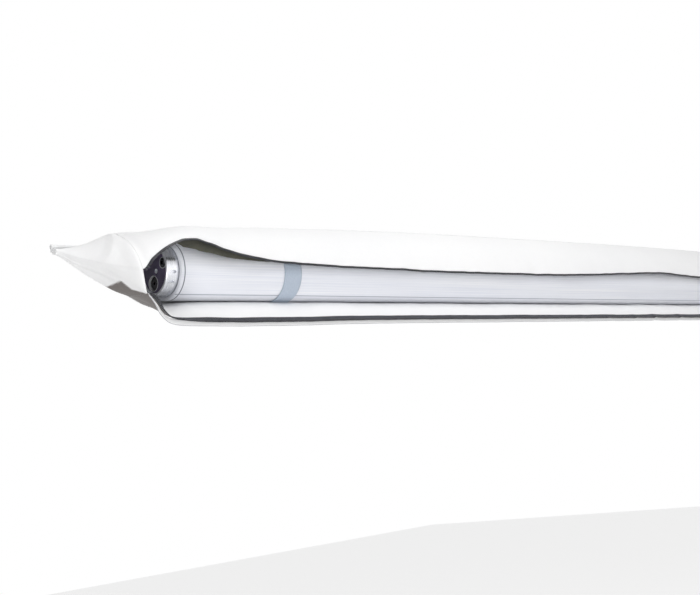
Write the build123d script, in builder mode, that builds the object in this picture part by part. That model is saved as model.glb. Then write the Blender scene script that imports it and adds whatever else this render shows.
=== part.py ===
from build123d import *
import math
import os

# Roll out awning in its zip bag: the bag is open along its front and the cloth is rolled up.
# X runs along the awning, -Y points away from the wall that it hangs on and +Z is up.
# The origin is the centre of the keder bead that slides into the rail on the wall.

os.makedirs("parts", exist_ok=True)

# Driving dimensions in millimetres
mouth_length = 2512.0  # the bag's opening along X
pouch_length = 86.0  # each closed pouch past the opening
roller_setback = 56.0  # each end ring's face inside the opening's end
roll_radius = 48.0  # cloth wound on the tube
ring_radius = 42.0  # end ring
bag_sheet = 1.2  # coated cloth of the bag
awning_cloth = 0.5
clearance = 0.3  # between pieces that lie on each other
half_mouth = mouth_length / 2
half_roller = half_mouth - roller_setback

# Keder: a round bead on a flat tail
bead_radius = 3.5
tail_drop = 20.0
tail_sheet = 1.0

# Roller: tube, end rings and wound cloth
ring_length = 22.0
ring_wall = 4.6
spigot_length = 40.0
spigot_clearance = 0.1
tube_wall = 2.0
tube_step = 0.5  # the tube is this much smaller than the ring
cloth_end_gap = 2.0
ring_slot_length = 14.0
ring_slot_height = 4.6
ring_slot_setback = 4.0
ring_slot_angles = (192.5, 213.6)  # degrees about X from the wall side
ring_edge = 0.8

# Carrier inside the roller: hubs, bushes, spine tube and bulkhead
hub_recess = 8.0
hub_thickness = 8.0
bush_wall = 2.1
bush_length = 12.0
running_clearance = 0.05
seat_clearance = 0.1
spine_radius = 6.0
spine_wall = 1.5
boss_length = 14.0
bulkhead_thickness = 16.0
bulkhead_clearance = 0.3
screw_radius = 2.2
screw_hole_clearance = 0.3
screw_length = 18.0
screw_head_radius = 4.0
screw_head_height = 2.4
hub_rib_width = 2.4
hub_rib_height = 2.0
hub_rib_angle = 45.0

# Support legs, stored in the roller below its axis on the wall side
leg_offset_y = 10.5
leg_offset_z = -18.5
leg_tube_radius = 10.0
leg_tube_wall = 1.2
leg_slide_clearance = 0.4
leg_inner_wall = 1.2
leg_collar_wall = 1.5
leg_collar_length = 30.0
leg_collar_overlap = 18.0
leg_setback = 10.0  # foot behind the ring's face
foot_radius = 11.9
foot_length = 14.0
foot_socket_depth = 9.0
foot_dome = 2.5
foot_hole_radius = 2.6
liner_clearance = 0.4
liner_wall = 0.8
liner_length = 11.0
leg_plug_length = 10.0
leg_plug_stem = 16.0
leg_inner_shortfall = 60.0
collar_gap = 4.0
grip_count = 10
grip_radius = 1.1

# Tension rafters, stored in the roller above its axis on the viewer's side
rafter_offset_y = -22.0
rafter_offset_z = 9.5
rafter_tube_radius = 6.5
rafter_tube_wall = 1.0
rafter_slide_clearance = 0.4
rafter_inner_wall = 1.0
rafter_collar_wall = 1.1
rafter_collar_length = 22.0
rafter_collar_overlap = 12.0
rafter_setback = 18.0  # black tip behind the ring's face
rafter_tip_radius = 7.6
rafter_tip_length = 16.0
rafter_tip_socket = 10.0
rafter_hook_depth = 5.0
rafter_hook_width = 4.0
ferrule_clearance = 0.4
ferrule_wall = 1.1
ferrule_length = 12.0
rafter_plug_length = 8.0
rafter_plug_stem = 12.0

# Bag: where the roll hangs, and the zip
roll_wall_gap = 14.0
zip_tape = 0.8
zip_tape_width = 7.0
zip_coil_width = 3.0
zip_coil_height = 2.2
hem_setback = 3.0
hem_drop = 11.0
slider_length = 11.0
slider_wall = 1.6
slider_setback = 84.0  # slider's inner face from the opening's end
pull_length = 24.0
pull_width = 5.0
pull_thickness = 1.2
pull_neck = 1.7
pull_neck_length = 8.0
pull_pin = 0.9
pull_eye_radius = 1.6
pull_hole_radius = 0.9

# Straps that hold the roll
strap_width = 38.0
strap_thickness = 1.1
strap_inset = 258.0  # strap's centre from the ring's face
strap_start_angle = 97.0  # degrees about X, from the wall side over the top to the front
strap_end_angle = 400.0
strap_tail_angle = 262.0
strap_tail_length = 26.0
strap_tail_drop = 2.2

# The roll's axis, level with the bead at the roll's top
roll_y = -(roll_radius + roll_wall_gap)
roll_z = -roll_radius
ring_line = half_roller - ring_length
tube_radius = ring_radius - tube_step
spigot_radius = tube_radius - tube_wall - spigot_clearance
ring_bore = ring_radius - ring_wall
bush_radius = ring_bore - running_clearance
hub_radius = bush_radius - bush_wall - seat_clearance
hub_face = half_roller - hub_recess
hub_back = hub_face - hub_thickness

# Folds of the top and its hanging flap, from the left end to the right: place along the opening
# as a share of its half, height of the top, and the flap's edge (out from the wall, up), all
# three as shares of the roll's radius from the roll's axis. The bulge follows in the same share.
fold_shares = (
    (-1.000, 1.32, -1.16, 0.06, 0.22),
    (-0.986, 1.34, -1.20, 0.42, 0.24),
    (-0.962, 1.39, -1.32, 0.80, 0.26),
    (-0.940, 1.42, -1.40, 1.02, 0.28),
    (-0.922, 1.50, -1.41, 1.07, 0.28),
    (-0.902, 1.60, -1.39, 0.98, 0.28),
    (-0.855, 1.65, -1.32, 0.75, 0.28),
    (-0.802, 1.70, -1.24, 0.55, 0.26),
    (-0.730, 1.74, -1.19, 0.44, 0.24),
    (-0.600, 1.83, -1.17, 0.39, 0.22),
    (-0.400, 1.91, -1.17, 0.36, 0.22),
    (-0.143, 1.94, -1.17, 0.36, 0.22),
    (0.040, 1.96, -1.18, 0.52, 0.23),
    (0.166, 1.96, -1.19, 0.61, 0.24),
    (0.320, 1.94, -1.17, 0.48, 0.22),
    (0.520, 1.88, -1.17, 0.37, 0.22),
    (0.730, 1.74, -1.19, 0.44, 0.24),
    (0.855, 1.65, -1.32, 0.75, 0.28),
    (0.905, 1.58, -1.39, 0.94, 0.28),
    (0.962, 1.39, -1.32, 0.74, 0.26),
    (1.000, 1.32, -1.16, 0.06, 0.22),
)
fold_steps = 3  # each stretch between two rows is made of this many
# Bottom of the bag in the same shares: height under the roll, and the panel's front edge
floor_shares = (
    (-1.000, -0.86, -1.150, -0.520),
    (-0.962, -1.10, -1.354, -1.790),
    (-0.930, -1.150, -1.354, -1.790),
    (0.930, -1.150, -1.354, -1.790),
    (0.962, -1.10, -1.354, -1.790),
    (1.000, -0.86, -1.150, -0.520),
)
back_foot_share = -1.06  # lower end of the wall side, below the roll's axis
# Closed end pouches: place as a share of the pouch's length, then the top (out, up), the front
# (out, up) and the bottom (out, up), as shares of the roll's radius from the keder bead
pouch_shares = (
    (0.00, -1.25, 0.32, -2.42, -1.12, -1.50, -1.98),
    (0.22, -1.00, 0.16, -1.96, -1.02, -1.16, -1.72),
    (0.46, -0.72, 0.04, -1.38, -0.82, -0.74, -1.32),
    (0.74, -0.40, -0.03, -0.72, -0.50, -0.40, -0.84),
    (1.00, -0.20, -0.06, -0.30, -0.28, -0.20, -0.46),
)
pouch_bulge_share = 0.10
pouch_back = bead_radius + clearance + bag_sheet / 2
top_bulge_share = 0.24


def slopes(rows, column):
    """The slope of a column at each row: level at a peak, a dip and both ends."""
    steps = [
        (after[column] - before[column]) / (after[0] - before[0])
        for before, after in zip(rows, rows[1:])
    ]
    inner = [2 * a * b / (a + b) if a * b > 0 else 0.0 for a, b in zip(steps, steps[1:])]
    return [0.0, *inner, 0.0]


def eased(rows, count):
    """The rows with count - 1 more in each stretch, on a cubic that never overshoots."""
    columns = [slopes(rows, column) for column in range(1, len(rows[0]))]
    made = []
    for index, (before, after) in enumerate(zip(rows, rows[1:])):
        gap = after[0] - before[0]
        for step in range(count):
            t = step / count
            keep = 1 - t * t * (3 - 2 * t)
            values = [
                keep * before[column] + (1 - keep) * after[column]
                + gap * t * (1 - t) * ((1 - t) * rise[index] - t * rise[index + 1])
                for column, rise in enumerate(columns, start=1)
            ]
            made.append((before[0] + gap * t, *values))
    return [*made, rows[-1]]


def cell(y_share, z_share):
    """The place of a share of the roll's radius, measured from the roll's axis."""
    return (roll_y + y_share * roll_radius, roll_z + z_share * roll_radius)


def bulged(start, end, bulge):
    """The middle of an arc from start to end that stands out by bulge on its right."""
    run = (end[0] - start[0], end[1] - start[1])
    length = math.hypot(*run)
    middle = ((start[0] + end[0]) / 2, (start[1] + end[1]) / 2)
    return (middle[0] + run[1] / length * bulge, middle[1] - run[0] / length * bulge)


def arc_centre(start, middle, end):
    """The centre of the circle through three points."""
    (ax, ay), (bx, by), (cx, cy) = start, middle, end
    twice_area = 2 * (ax * (by - cy) + bx * (cy - ay) + cx * (ay - by))
    a2, b2, c2 = ax**2 + ay**2, bx**2 + by**2, cx**2 + cy**2
    return (
        (a2 * (by - cy) + b2 * (cy - ay) + c2 * (ay - by)) / twice_area,
        (a2 * (cx - bx) + b2 * (ax - cx) + c2 * (bx - ax)) / twice_area,
    )


def thick_arc(start, middle, end, thickness):
    """The two faces of a bent sheet whose mid line is the arc through three points."""
    centre = arc_centre(start, middle, end)
    faces = []
    for shift in (thickness / 2, -thickness / 2):
        face = []
        for point in (start, middle, end):
            out = (point[0] - centre[0], point[1] - centre[1])
            length = math.hypot(*out)
            face.append((point[0] + out[0] / length * shift, point[1] + out[1] / length * shift))
        faces.append(face)
    return faces


def end_direction(start, middle, end):
    """The unit direction in which the arc through three points runs off its end."""
    centre = arc_centre(start, middle, end)
    out = (end[0] - centre[0], end[1] - centre[1])
    length = math.hypot(*out)
    along = (-out[1] / length, out[0] / length)
    chord = (end[0] - middle[0], end[1] - middle[1])
    sign = 1 if along[0] * chord[0] + along[1] * chord[1] > 0 else -1
    return (sign * along[0], sign * along[1])


def strip(origin, along, start, end, low, high):
    """Four corners of a strip: start to end along a direction, low to high on its left."""
    side = (-along[1], along[0])
    return [
        (origin[0] + along[0] * a + side[0] * b, origin[1] + along[1] * a + side[1] * b)
        for a, b in ((start, low), (end, low), (end, high), (start, high))
    ]


def top_arc(height_share):
    """Mid line of the top: from the front of the bead up to the crown of the bag."""
    start = (-pouch_back, clearance)
    end = cell(0, height_share)
    return start, bulged(start, end, top_bulge_share * roll_radius), end


def flap_arc(height_share, out_share, up_share, bulge_share):
    """Mid line of the hanging flap: from the crown of the bag to the zip's upper edge."""
    crown = cell(0, height_share)
    start = (crown[0] - clearance - bag_sheet / 4, crown[1])
    end = cell(out_share, up_share)
    return start, bulged(start, end, bulge_share * roll_radius), end


def floor_arc(under_share, out_share, up_share):
    """Mid line of the bottom: from the wall side, under the roll, to the zip's lower edge."""
    start = (-clearance, roll_z + back_foot_share * roll_radius)
    return start, cell(0, under_share), cell(out_share, up_share)


def pouch_corners(row, inset):
    """Corners of a pouch's outline, from the top of its wall side over its front to the low one."""
    rear = -pouch_back - clearance
    corners = [
        (rear, row[2] * roll_radius - pouch_back),
        (row[1] * roll_radius - pouch_back, row[2] * roll_radius),
        (row[3] * roll_radius - pouch_back, row[4] * roll_radius),
        (row[5] * roll_radius - pouch_back, row[6] * roll_radius),
        (rear, row[6] * roll_radius + pouch_back),
    ]
    centre = (sum(y for y, z in corners) / len(corners), sum(z for y, z in corners) / len(corners))
    moved = []
    for y, z in corners:
        length = math.hypot(y - centre[0], z - centre[1])
        keep = 1 - inset * math.sqrt(2) / length
        moved.append((centre[0] + (y - centre[0]) * keep, centre[1] + (z - centre[1]) * keep))
    return moved


fold_rows = eased(fold_shares, fold_steps)
zip_shares = floor_shares[1:-1]  # the lower teeth and the hem stop short of the pouches
level_floor = zip_shares[len(zip_shares) // 2][1:]

# Keder: the bead and the tail that the bag and the cloth are sewn to
keder_half = half_mouth + pouch_length
with BuildPart() as rail_keder:
    with BuildSketch(Plane.YZ.offset(-keder_half)):
        Circle(bead_radius)
        with Locations((0, -tail_drop / 2)):
            Rectangle(tail_sheet, tail_drop)
    extrude(amount=2 * keder_half)
rail_keder.part.label = "rail_keder"
export_step(rail_keder.part, "parts/rail_keder.step")

# Wall side of the bag: a flat sheet behind the tail
back_face = tail_sheet / 2 + clearance + bag_sheet
back_top = -bead_radius - clearance
back_bottom = roll_z + (back_foot_share * roll_radius - bag_sheet / 2)
with BuildPart() as bag_back_panel:
    with BuildSketch(Plane.YZ.offset(-half_mouth)):
        with Locations((back_face - bag_sheet / 2, (back_top + back_bottom) / 2)):
            Rectangle(bag_sheet, back_top - back_bottom)
    extrude(amount=mouth_length)
bag_back_panel.part.label = "bag_back_panel"
export_step(bag_back_panel.part, "parts/bag_back_panel.step")

# Top of the bag, from the bead to the crown
with BuildPart() as bag_top_panel:
    for place, height, out, up, bulge in fold_rows:
        with BuildSketch(Plane.YZ.offset(place * half_mouth)):
            outer, inner = thick_arc(*top_arc(height), bag_sheet)
            with BuildLine():
                ThreePointArc(*outer)
                Line(outer[2], inner[2])
                ThreePointArc(*inner)
                Line(inner[0], outer[0])
            make_face()
    loft(ruled=True)
bag_top_panel.part.label = "bag_top_panel"
export_step(bag_top_panel.part, "parts/bag_top_panel.step")

# Upper flap, hanging from the crown in front of the roll
with BuildPart() as bag_upper_flap:
    for place, height, out, up, bulge in fold_rows:
        with BuildSketch(Plane.YZ.offset(place * half_mouth)):
            outer, inner = thick_arc(*flap_arc(height, out, up, bulge), bag_sheet)
            with BuildLine():
                ThreePointArc(*outer)
                Line(outer[2], inner[2])
                ThreePointArc(*inner)
                Line(inner[0], outer[0])
            make_face()
    loft(ruled=True)
bag_upper_flap.part.label = "bag_upper_flap"
export_step(bag_upper_flap.part, "parts/bag_upper_flap.step")

# Zip's upper half: a tape on the flap's edge and the row of teeth on the tape
with BuildPart() as zip_tape_upper:
    for place, height, out, up, bulge in fold_rows:
        with BuildSketch(Plane.YZ.offset(place * half_mouth)):
            arc = flap_arc(height, out, up, bulge)
            along = end_direction(*arc)
            corners = strip(arc[2], along, clearance, zip_tape_width, -zip_tape / 2, zip_tape / 2)
            with BuildLine():
                Polyline(*corners, close=True)
            make_face()
    loft(ruled=True)
zip_tape_upper.part.label = "zip_tape_upper"
export_step(zip_tape_upper.part, "parts/zip_tape_upper.step")

coil_start = zip_tape_width + clearance
coil_end = coil_start + zip_coil_width
with BuildPart() as zip_coil_upper:
    for place, height, out, up, bulge in fold_rows:
        with BuildSketch(Plane.YZ.offset(place * half_mouth)):
            arc = flap_arc(height, out, up, bulge)
            corners = strip(
                arc[2], end_direction(*arc), coil_start, coil_end, -zip_coil_height / 2, zip_coil_height / 2
            )
            with BuildLine():
                Polyline(*corners, close=True)
            make_face()
    loft(ruled=True)
zip_coil_upper.part.label = "zip_coil_upper"
export_step(zip_coil_upper.part, "parts/zip_coil_upper.step")

# Bottom of the bag with its lower flap
with BuildPart() as bag_bottom_panel:
    for place, under, out, up in floor_shares:
        with BuildSketch(Plane.YZ.offset(place * half_mouth)):
            outer, inner = thick_arc(*floor_arc(under, out, up), bag_sheet)
            with BuildLine():
                ThreePointArc(*outer)
                Line(outer[2], inner[2])
                ThreePointArc(*inner)
                Line(inner[0], outer[0])
            make_face()
    loft(ruled=True)
bag_bottom_panel.part.label = "bag_bottom_panel"
export_step(bag_bottom_panel.part, "parts/bag_bottom_panel.step")

# Zip's lower half on the front edge of the bottom, and the hem that hangs under it
with BuildPart() as zip_tape_lower:
    for place, under, out, up in floor_shares:
        with BuildSketch(Plane.YZ.offset(place * half_mouth)):
            arc = floor_arc(under, out, up)
            along = end_direction(*arc)
            corners = strip(arc[2], along, clearance, zip_tape_width, -zip_tape / 2, zip_tape / 2)
            with BuildLine():
                Polyline(*corners, close=True)
            make_face()
    loft(ruled=True)
zip_tape_lower.part.label = "zip_tape_lower"
export_step(zip_tape_lower.part, "parts/zip_tape_lower.step")

with BuildPart() as zip_coil_lower:
    for place, under, out, up in zip_shares:
        with BuildSketch(Plane.YZ.offset(place * half_mouth)):
            arc = floor_arc(under, out, up)
            corners = strip(
                arc[2], end_direction(*arc), coil_start, coil_end, -zip_coil_height / 2, zip_coil_height / 2
            )
            with BuildLine():
                Polyline(*corners, close=True)
            make_face()
    loft(ruled=True)
zip_coil_lower.part.label = "zip_coil_lower"
export_step(zip_coil_lower.part, "parts/zip_coil_lower.step")

with BuildPart() as bag_hem:
    for place, under, out, up in zip_shares:
        with BuildSketch(Plane.YZ.offset(place * half_mouth)):
            arc = floor_arc(under, out, up)
            along = end_direction(*arc)
            root = (arc[2][0] - along[0] * hem_setback, arc[2][1] - along[1] * hem_setback)
            hem_top = bag_sheet / 2 / abs(along[0]) + bag_sheet * abs(along[1]) + clearance
            corners = strip(root, (0, -1), hem_top, hem_drop, -bag_sheet / 2, bag_sheet / 2)
            with BuildLine():
                Polyline(*corners, close=True)
            make_face()
    loft(ruled=True)
bag_hem.part.label = "bag_hem"
export_step(bag_hem.part, "parts/bag_hem.step")

# Closed pouches at both ends: a tapering shell that is open towards the roll
for side, sign in (("left", -1), ("right", 1)):
    with BuildPart() as bag_end:
        for inset, way in ((0, Mode.ADD), (bag_sheet, Mode.SUBTRACT)):
            for row in pouch_shares:
                reach = row[0] * (pouch_length - clearance - inset)
                overrun = inset if row[0] == 0 else 0
                with BuildSketch(Plane.YZ.offset(sign * (half_mouth + clearance + reach - overrun))):
                    rear_top, crown, front, base, rear_low = pouch_corners(row, inset)
                    bulge = -pouch_bulge_share * row[3] * roll_radius
                    with BuildLine():
                        ThreePointArc(rear_top, bulged(rear_top, crown, bulge), crown)
                        ThreePointArc(crown, bulged(crown, front, bulge), front)
                        ThreePointArc(front, bulged(front, base, bulge), base)
                        ThreePointArc(base, bulged(base, rear_low, bulge), rear_low)
                        Line(rear_low, rear_top)
                    make_face()
            loft(ruled=True, mode=way)
    bag_end.part.label = f"bag_end_{side}"
    export_step(bag_end.part, f"parts/bag_end_{side}.step")

# Cloth that runs from the keder's tail to the top of the roll
leader_rise = roll_z + roll_radius + clearance + awning_cloth / 2
leader_start = (-tail_sheet / 2 - clearance - awning_cloth / 2, -bead_radius * 2)
leader_meet = (roll_y + bead_radius, leader_rise)
leader_tip = (roll_y, leader_rise)
with BuildPart() as cloth_leader:
    with BuildSketch(Plane.YZ.offset(-(ring_line - cloth_end_gap))):
        with BuildLine():
            Polyline(
                (leader_start[0], leader_start[1] - awning_cloth / 2),
                (leader_meet[0], leader_meet[1] - awning_cloth / 2),
                (leader_tip[0], leader_tip[1] - awning_cloth / 2),
                (leader_tip[0], leader_tip[1] + awning_cloth / 2),
                (leader_meet[0], leader_meet[1] + awning_cloth / 2),
                (leader_start[0], leader_start[1] + awning_cloth / 2),
                close=True,
            )
        make_face()
    extrude(amount=2 * (ring_line - cloth_end_gap))
cloth_leader.part.label = "cloth_leader"
export_step(cloth_leader.part, "parts/cloth_leader.step")


def roll_plane(x):
    """The plane across the roll at x, centred on its axis: Y to the wall, Z up."""
    return Plane(origin=(x, roll_y, roll_z), x_dir=(0, 1, 0), z_dir=(1, 0, 0))


def polar(radius, angle):
    """A point about the roll's axis, in degrees from the wall side over the top."""
    return (radius * math.cos(math.radians(angle)), radius * math.sin(math.radians(angle)))


# Roller: tube, cloth wound on it, and an end ring with two slots at each end
tube_half = ring_line - clearance
with BuildPart() as roller_tube:
    with BuildSketch(roll_plane(-tube_half)):
        Circle(tube_radius)
        Circle(tube_radius - tube_wall, mode=Mode.SUBTRACT)
    extrude(amount=2 * tube_half)
roller_tube.part.label = "roller_tube"
export_step(roller_tube.part, "parts/roller_tube.step")

# The cloth's outline is a spiral of two half turns with one step where the cloth comes off
with BuildPart() as cloth_roll:
    with BuildSketch(roll_plane(-(ring_line - cloth_end_gap))):
        with BuildLine():
            ThreePointArc(
                (0, roll_radius),
                (-(roll_radius - awning_cloth / 4), awning_cloth / 4),
                (0, -(roll_radius - awning_cloth / 2)),
            )
            ThreePointArc(
                (0, -(roll_radius - awning_cloth / 2)),
                (roll_radius - awning_cloth * 3 / 4, -awning_cloth / 4),
                (0, roll_radius - awning_cloth),
            )
            Line((0, roll_radius - awning_cloth), (0, roll_radius))
        make_face()
        Circle(tube_radius + clearance, mode=Mode.SUBTRACT)
    extrude(amount=2 * (ring_line - cloth_end_gap))
cloth_roll.part.label = "cloth_roll"
export_step(cloth_roll.part, "parts/cloth_roll.step")

for side, sign in (("left", -1), ("right", 1)):
    with BuildPart() as end_ring:
        with BuildSketch(roll_plane(sign * ring_line)):
            Circle(ring_radius)
            Circle(ring_bore, mode=Mode.SUBTRACT)
        extrude(amount=sign * ring_length)
        chamfer(end_ring.faces().sort_by(Axis.X)[-1 if sign > 0 else 0].edges(), ring_edge)
        with BuildSketch(roll_plane(sign * ring_line)):
            Circle(spigot_radius)
            Circle(ring_bore, mode=Mode.SUBTRACT)
        extrude(amount=-sign * spigot_length)
        slot_middle = ring_line + ring_slot_setback + ring_slot_length / 2
        for angle in ring_slot_angles:
            outward = (0, math.cos(math.radians(angle)), math.sin(math.radians(angle)))
            seat = Plane(
                origin=(
                    sign * slot_middle,
                    roll_y + outward[1] * (ring_radius - ring_wall),
                    roll_z + outward[2] * (ring_radius - ring_wall),
                ),
                x_dir=(1, 0, 0),
                z_dir=outward,
            )
            with BuildSketch(seat):
                SlotOverall(ring_slot_length, ring_slot_height)
            extrude(amount=ring_wall * 2, mode=Mode.SUBTRACT)
    end_ring.part.label = f"end_ring_{side}"
    export_step(end_ring.part, f"parts/end_ring_{side}.step")

# Straps round the roll, each with a slack tail under it on the wall side
strap_inner = roll_radius + clearance
strap_outer = strap_inner + strap_thickness
tail_end_angle = strap_tail_angle + math.degrees(strap_tail_length / strap_outer)
tail_middle_angle = (strap_tail_angle + tail_end_angle) / 2
for side, sign in (("left", -1), ("right", 1)):
    strap_place = sign * (half_roller - strap_inset) - strap_width / 2
    with BuildPart() as strap:
        with BuildSketch(roll_plane(strap_place)):
            with BuildLine():
                half_angle = (strap_start_angle + strap_end_angle) / 2
                ThreePointArc(
                    polar(strap_outer, strap_start_angle),
                    polar(strap_outer, (strap_start_angle + half_angle) / 2),
                    polar(strap_outer, half_angle),
                )
                ThreePointArc(
                    polar(strap_outer, half_angle),
                    polar(strap_outer, (half_angle + strap_end_angle) / 2),
                    polar(strap_outer, strap_end_angle),
                )
                Line(polar(strap_outer, strap_end_angle), polar(strap_inner, strap_end_angle))
                ThreePointArc(
                    polar(strap_inner, strap_end_angle),
                    polar(strap_inner, (half_angle + strap_end_angle) / 2),
                    polar(strap_inner, half_angle),
                )
                ThreePointArc(
                    polar(strap_inner, half_angle),
                    polar(strap_inner, (strap_start_angle + half_angle) / 2),
                    polar(strap_inner, strap_start_angle),
                )
                Line(polar(strap_inner, strap_start_angle), polar(strap_outer, strap_start_angle))
            make_face()
            with BuildLine():
                low, high = strap_outer, strap_outer + strap_thickness
                ThreePointArc(
                    polar(low - strap_thickness / 2, strap_tail_angle),
                    polar(low + strap_tail_drop / 2, tail_middle_angle),
                    polar(low + strap_tail_drop, tail_end_angle),
                )
                Line(
                    polar(low + strap_tail_drop, tail_end_angle),
                    polar(high + strap_tail_drop, tail_end_angle),
                )
                ThreePointArc(
                    polar(high + strap_tail_drop, tail_end_angle),
                    polar(high + strap_tail_drop / 2, tail_middle_angle),
                    polar(high - strap_thickness / 2, strap_tail_angle),
                )
                Line(
                    polar(high - strap_thickness / 2, strap_tail_angle),
                    polar(low - strap_thickness / 2, strap_tail_angle),
                )
            make_face()
        extrude(amount=strap_width)
    strap.part.label = f"strap_{side}"
    export_step(strap.part, f"parts/strap_{side}.step")

# Carrier: it moves out with the roller but does not turn with it
spine_half = hub_back - clearance
with BuildPart() as spine_tube:
    with BuildSketch(roll_plane(-spine_half)):
        Circle(spine_radius)
        Circle(spine_radius - spine_wall, mode=Mode.SUBTRACT)
    extrude(amount=2 * spine_half)
spine_tube.part.label = "spine_tube"
export_step(spine_tube.part, "parts/spine_tube.step")

bulkhead_radius = tube_radius - tube_wall - bulkhead_clearance
with BuildPart() as centre_bulkhead:
    with BuildSketch(roll_plane(-bulkhead_thickness / 2)):
        Circle(bulkhead_radius)
        Circle(spine_radius + clearance, mode=Mode.SUBTRACT)
    extrude(amount=bulkhead_thickness)
    chamfer(centre_bulkhead.edges().filter_by(GeomType.CIRCLE).group_by(SortBy.RADIUS)[-1], ring_edge)
centre_bulkhead.part.label = "centre_bulkhead"
export_step(centre_bulkhead.part, "parts/centre_bulkhead.step")

leg_collar_radius = leg_tube_radius + clearance + leg_collar_wall
rafter_collar_radius = rafter_tube_radius + clearance + rafter_collar_wall
liner_inner = foot_radius + liner_clearance
liner_outer = liner_inner + liner_wall
ferrule_inner = rafter_collar_radius + ferrule_clearance
ferrule_outer = ferrule_inner + ferrule_wall
leg_place = (leg_offset_y, leg_offset_z)
rafter_place = (rafter_offset_y, rafter_offset_z)
bush_start = hub_face + (bush_length - hub_thickness) / 2 - bush_length
for side, sign in (("left", -1), ("right", 1)):
    with BuildPart() as hub:
        with BuildSketch(roll_plane(sign * hub_back)):
            Circle(hub_radius)
            with Locations(leg_place):
                Circle(liner_outer + seat_clearance, mode=Mode.SUBTRACT)
            with Locations(rafter_place):
                Circle(ferrule_outer + seat_clearance, mode=Mode.SUBTRACT)
        extrude(amount=sign * hub_thickness)
        with BuildSketch(roll_plane(sign * (hub_back - boss_length))):
            Circle(spine_radius - spine_wall - seat_clearance)
        extrude(amount=sign * boss_length)
        with BuildSketch(roll_plane(sign * hub_face)):
            with PolarLocations(hub_radius * 2 / 3, 2, start_angle=hub_rib_angle, rotate=False):
                SlotOverall(hub_radius / 3, hub_rib_width)
        extrude(amount=sign * hub_rib_height)
        with BuildSketch(roll_plane(sign * hub_face)):
            Circle(screw_radius + screw_hole_clearance)
        extrude(amount=-sign * (hub_thickness + boss_length), mode=Mode.SUBTRACT)
        with BuildSketch(roll_plane(sign * hub_face)):
            Circle(screw_head_radius + screw_hole_clearance)
        extrude(amount=-sign * screw_head_height, mode=Mode.SUBTRACT)
    hub.part.label = f"hub_{side}"
    export_step(hub.part, f"parts/hub_{side}.step")

    with BuildPart() as hub_bush:
        with BuildSketch(roll_plane(sign * bush_start)):
            Circle(bush_radius)
            Circle(bush_radius - bush_wall, mode=Mode.SUBTRACT)
        extrude(amount=sign * bush_length)
    hub_bush.part.label = f"hub_bush_{side}"
    export_step(hub_bush.part, f"parts/hub_bush_{side}.step")

    with BuildPart() as leg_liner:
        with BuildSketch(roll_plane(sign * (hub_face + clearance - liner_length))):
            with Locations(leg_place):
                Circle(liner_outer)
                Circle(liner_inner, mode=Mode.SUBTRACT)
        extrude(amount=sign * liner_length)
    leg_liner.part.label = f"leg_liner_{side}"
    export_step(leg_liner.part, f"parts/leg_liner_{side}.step")

    with BuildPart() as rafter_ferrule:
        with BuildSketch(roll_plane(sign * (hub_face + ferrule_wall - ferrule_length))):
            with Locations(rafter_place):
                Circle(ferrule_outer)
                Circle(ferrule_inner, mode=Mode.SUBTRACT)
        extrude(amount=sign * ferrule_length)
    rafter_ferrule.part.label = f"rafter_ferrule_{side}"
    export_step(rafter_ferrule.part, f"parts/rafter_ferrule_{side}.step")

with BuildPart() as hub_screws:
    for sign in (-1, 1):
        with BuildSketch(roll_plane(sign * (hub_face - clearance))):
            Circle(screw_head_radius)
        extrude(amount=-sign * (screw_head_height - 2 * clearance))
        with BuildSketch(roll_plane(sign * (hub_face - screw_head_height / 2))):
            Circle(screw_radius)
        extrude(amount=-sign * screw_length)
        with BuildSketch(roll_plane(sign * (hub_face - clearance))):
            RegularPolygon(screw_radius, 6)
        extrude(amount=-sign * screw_head_height / 2, mode=Mode.SUBTRACT)
hub_screws.part.label = "hub_screws"
export_step(hub_screws.part, "parts/hub_screws.step")

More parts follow.
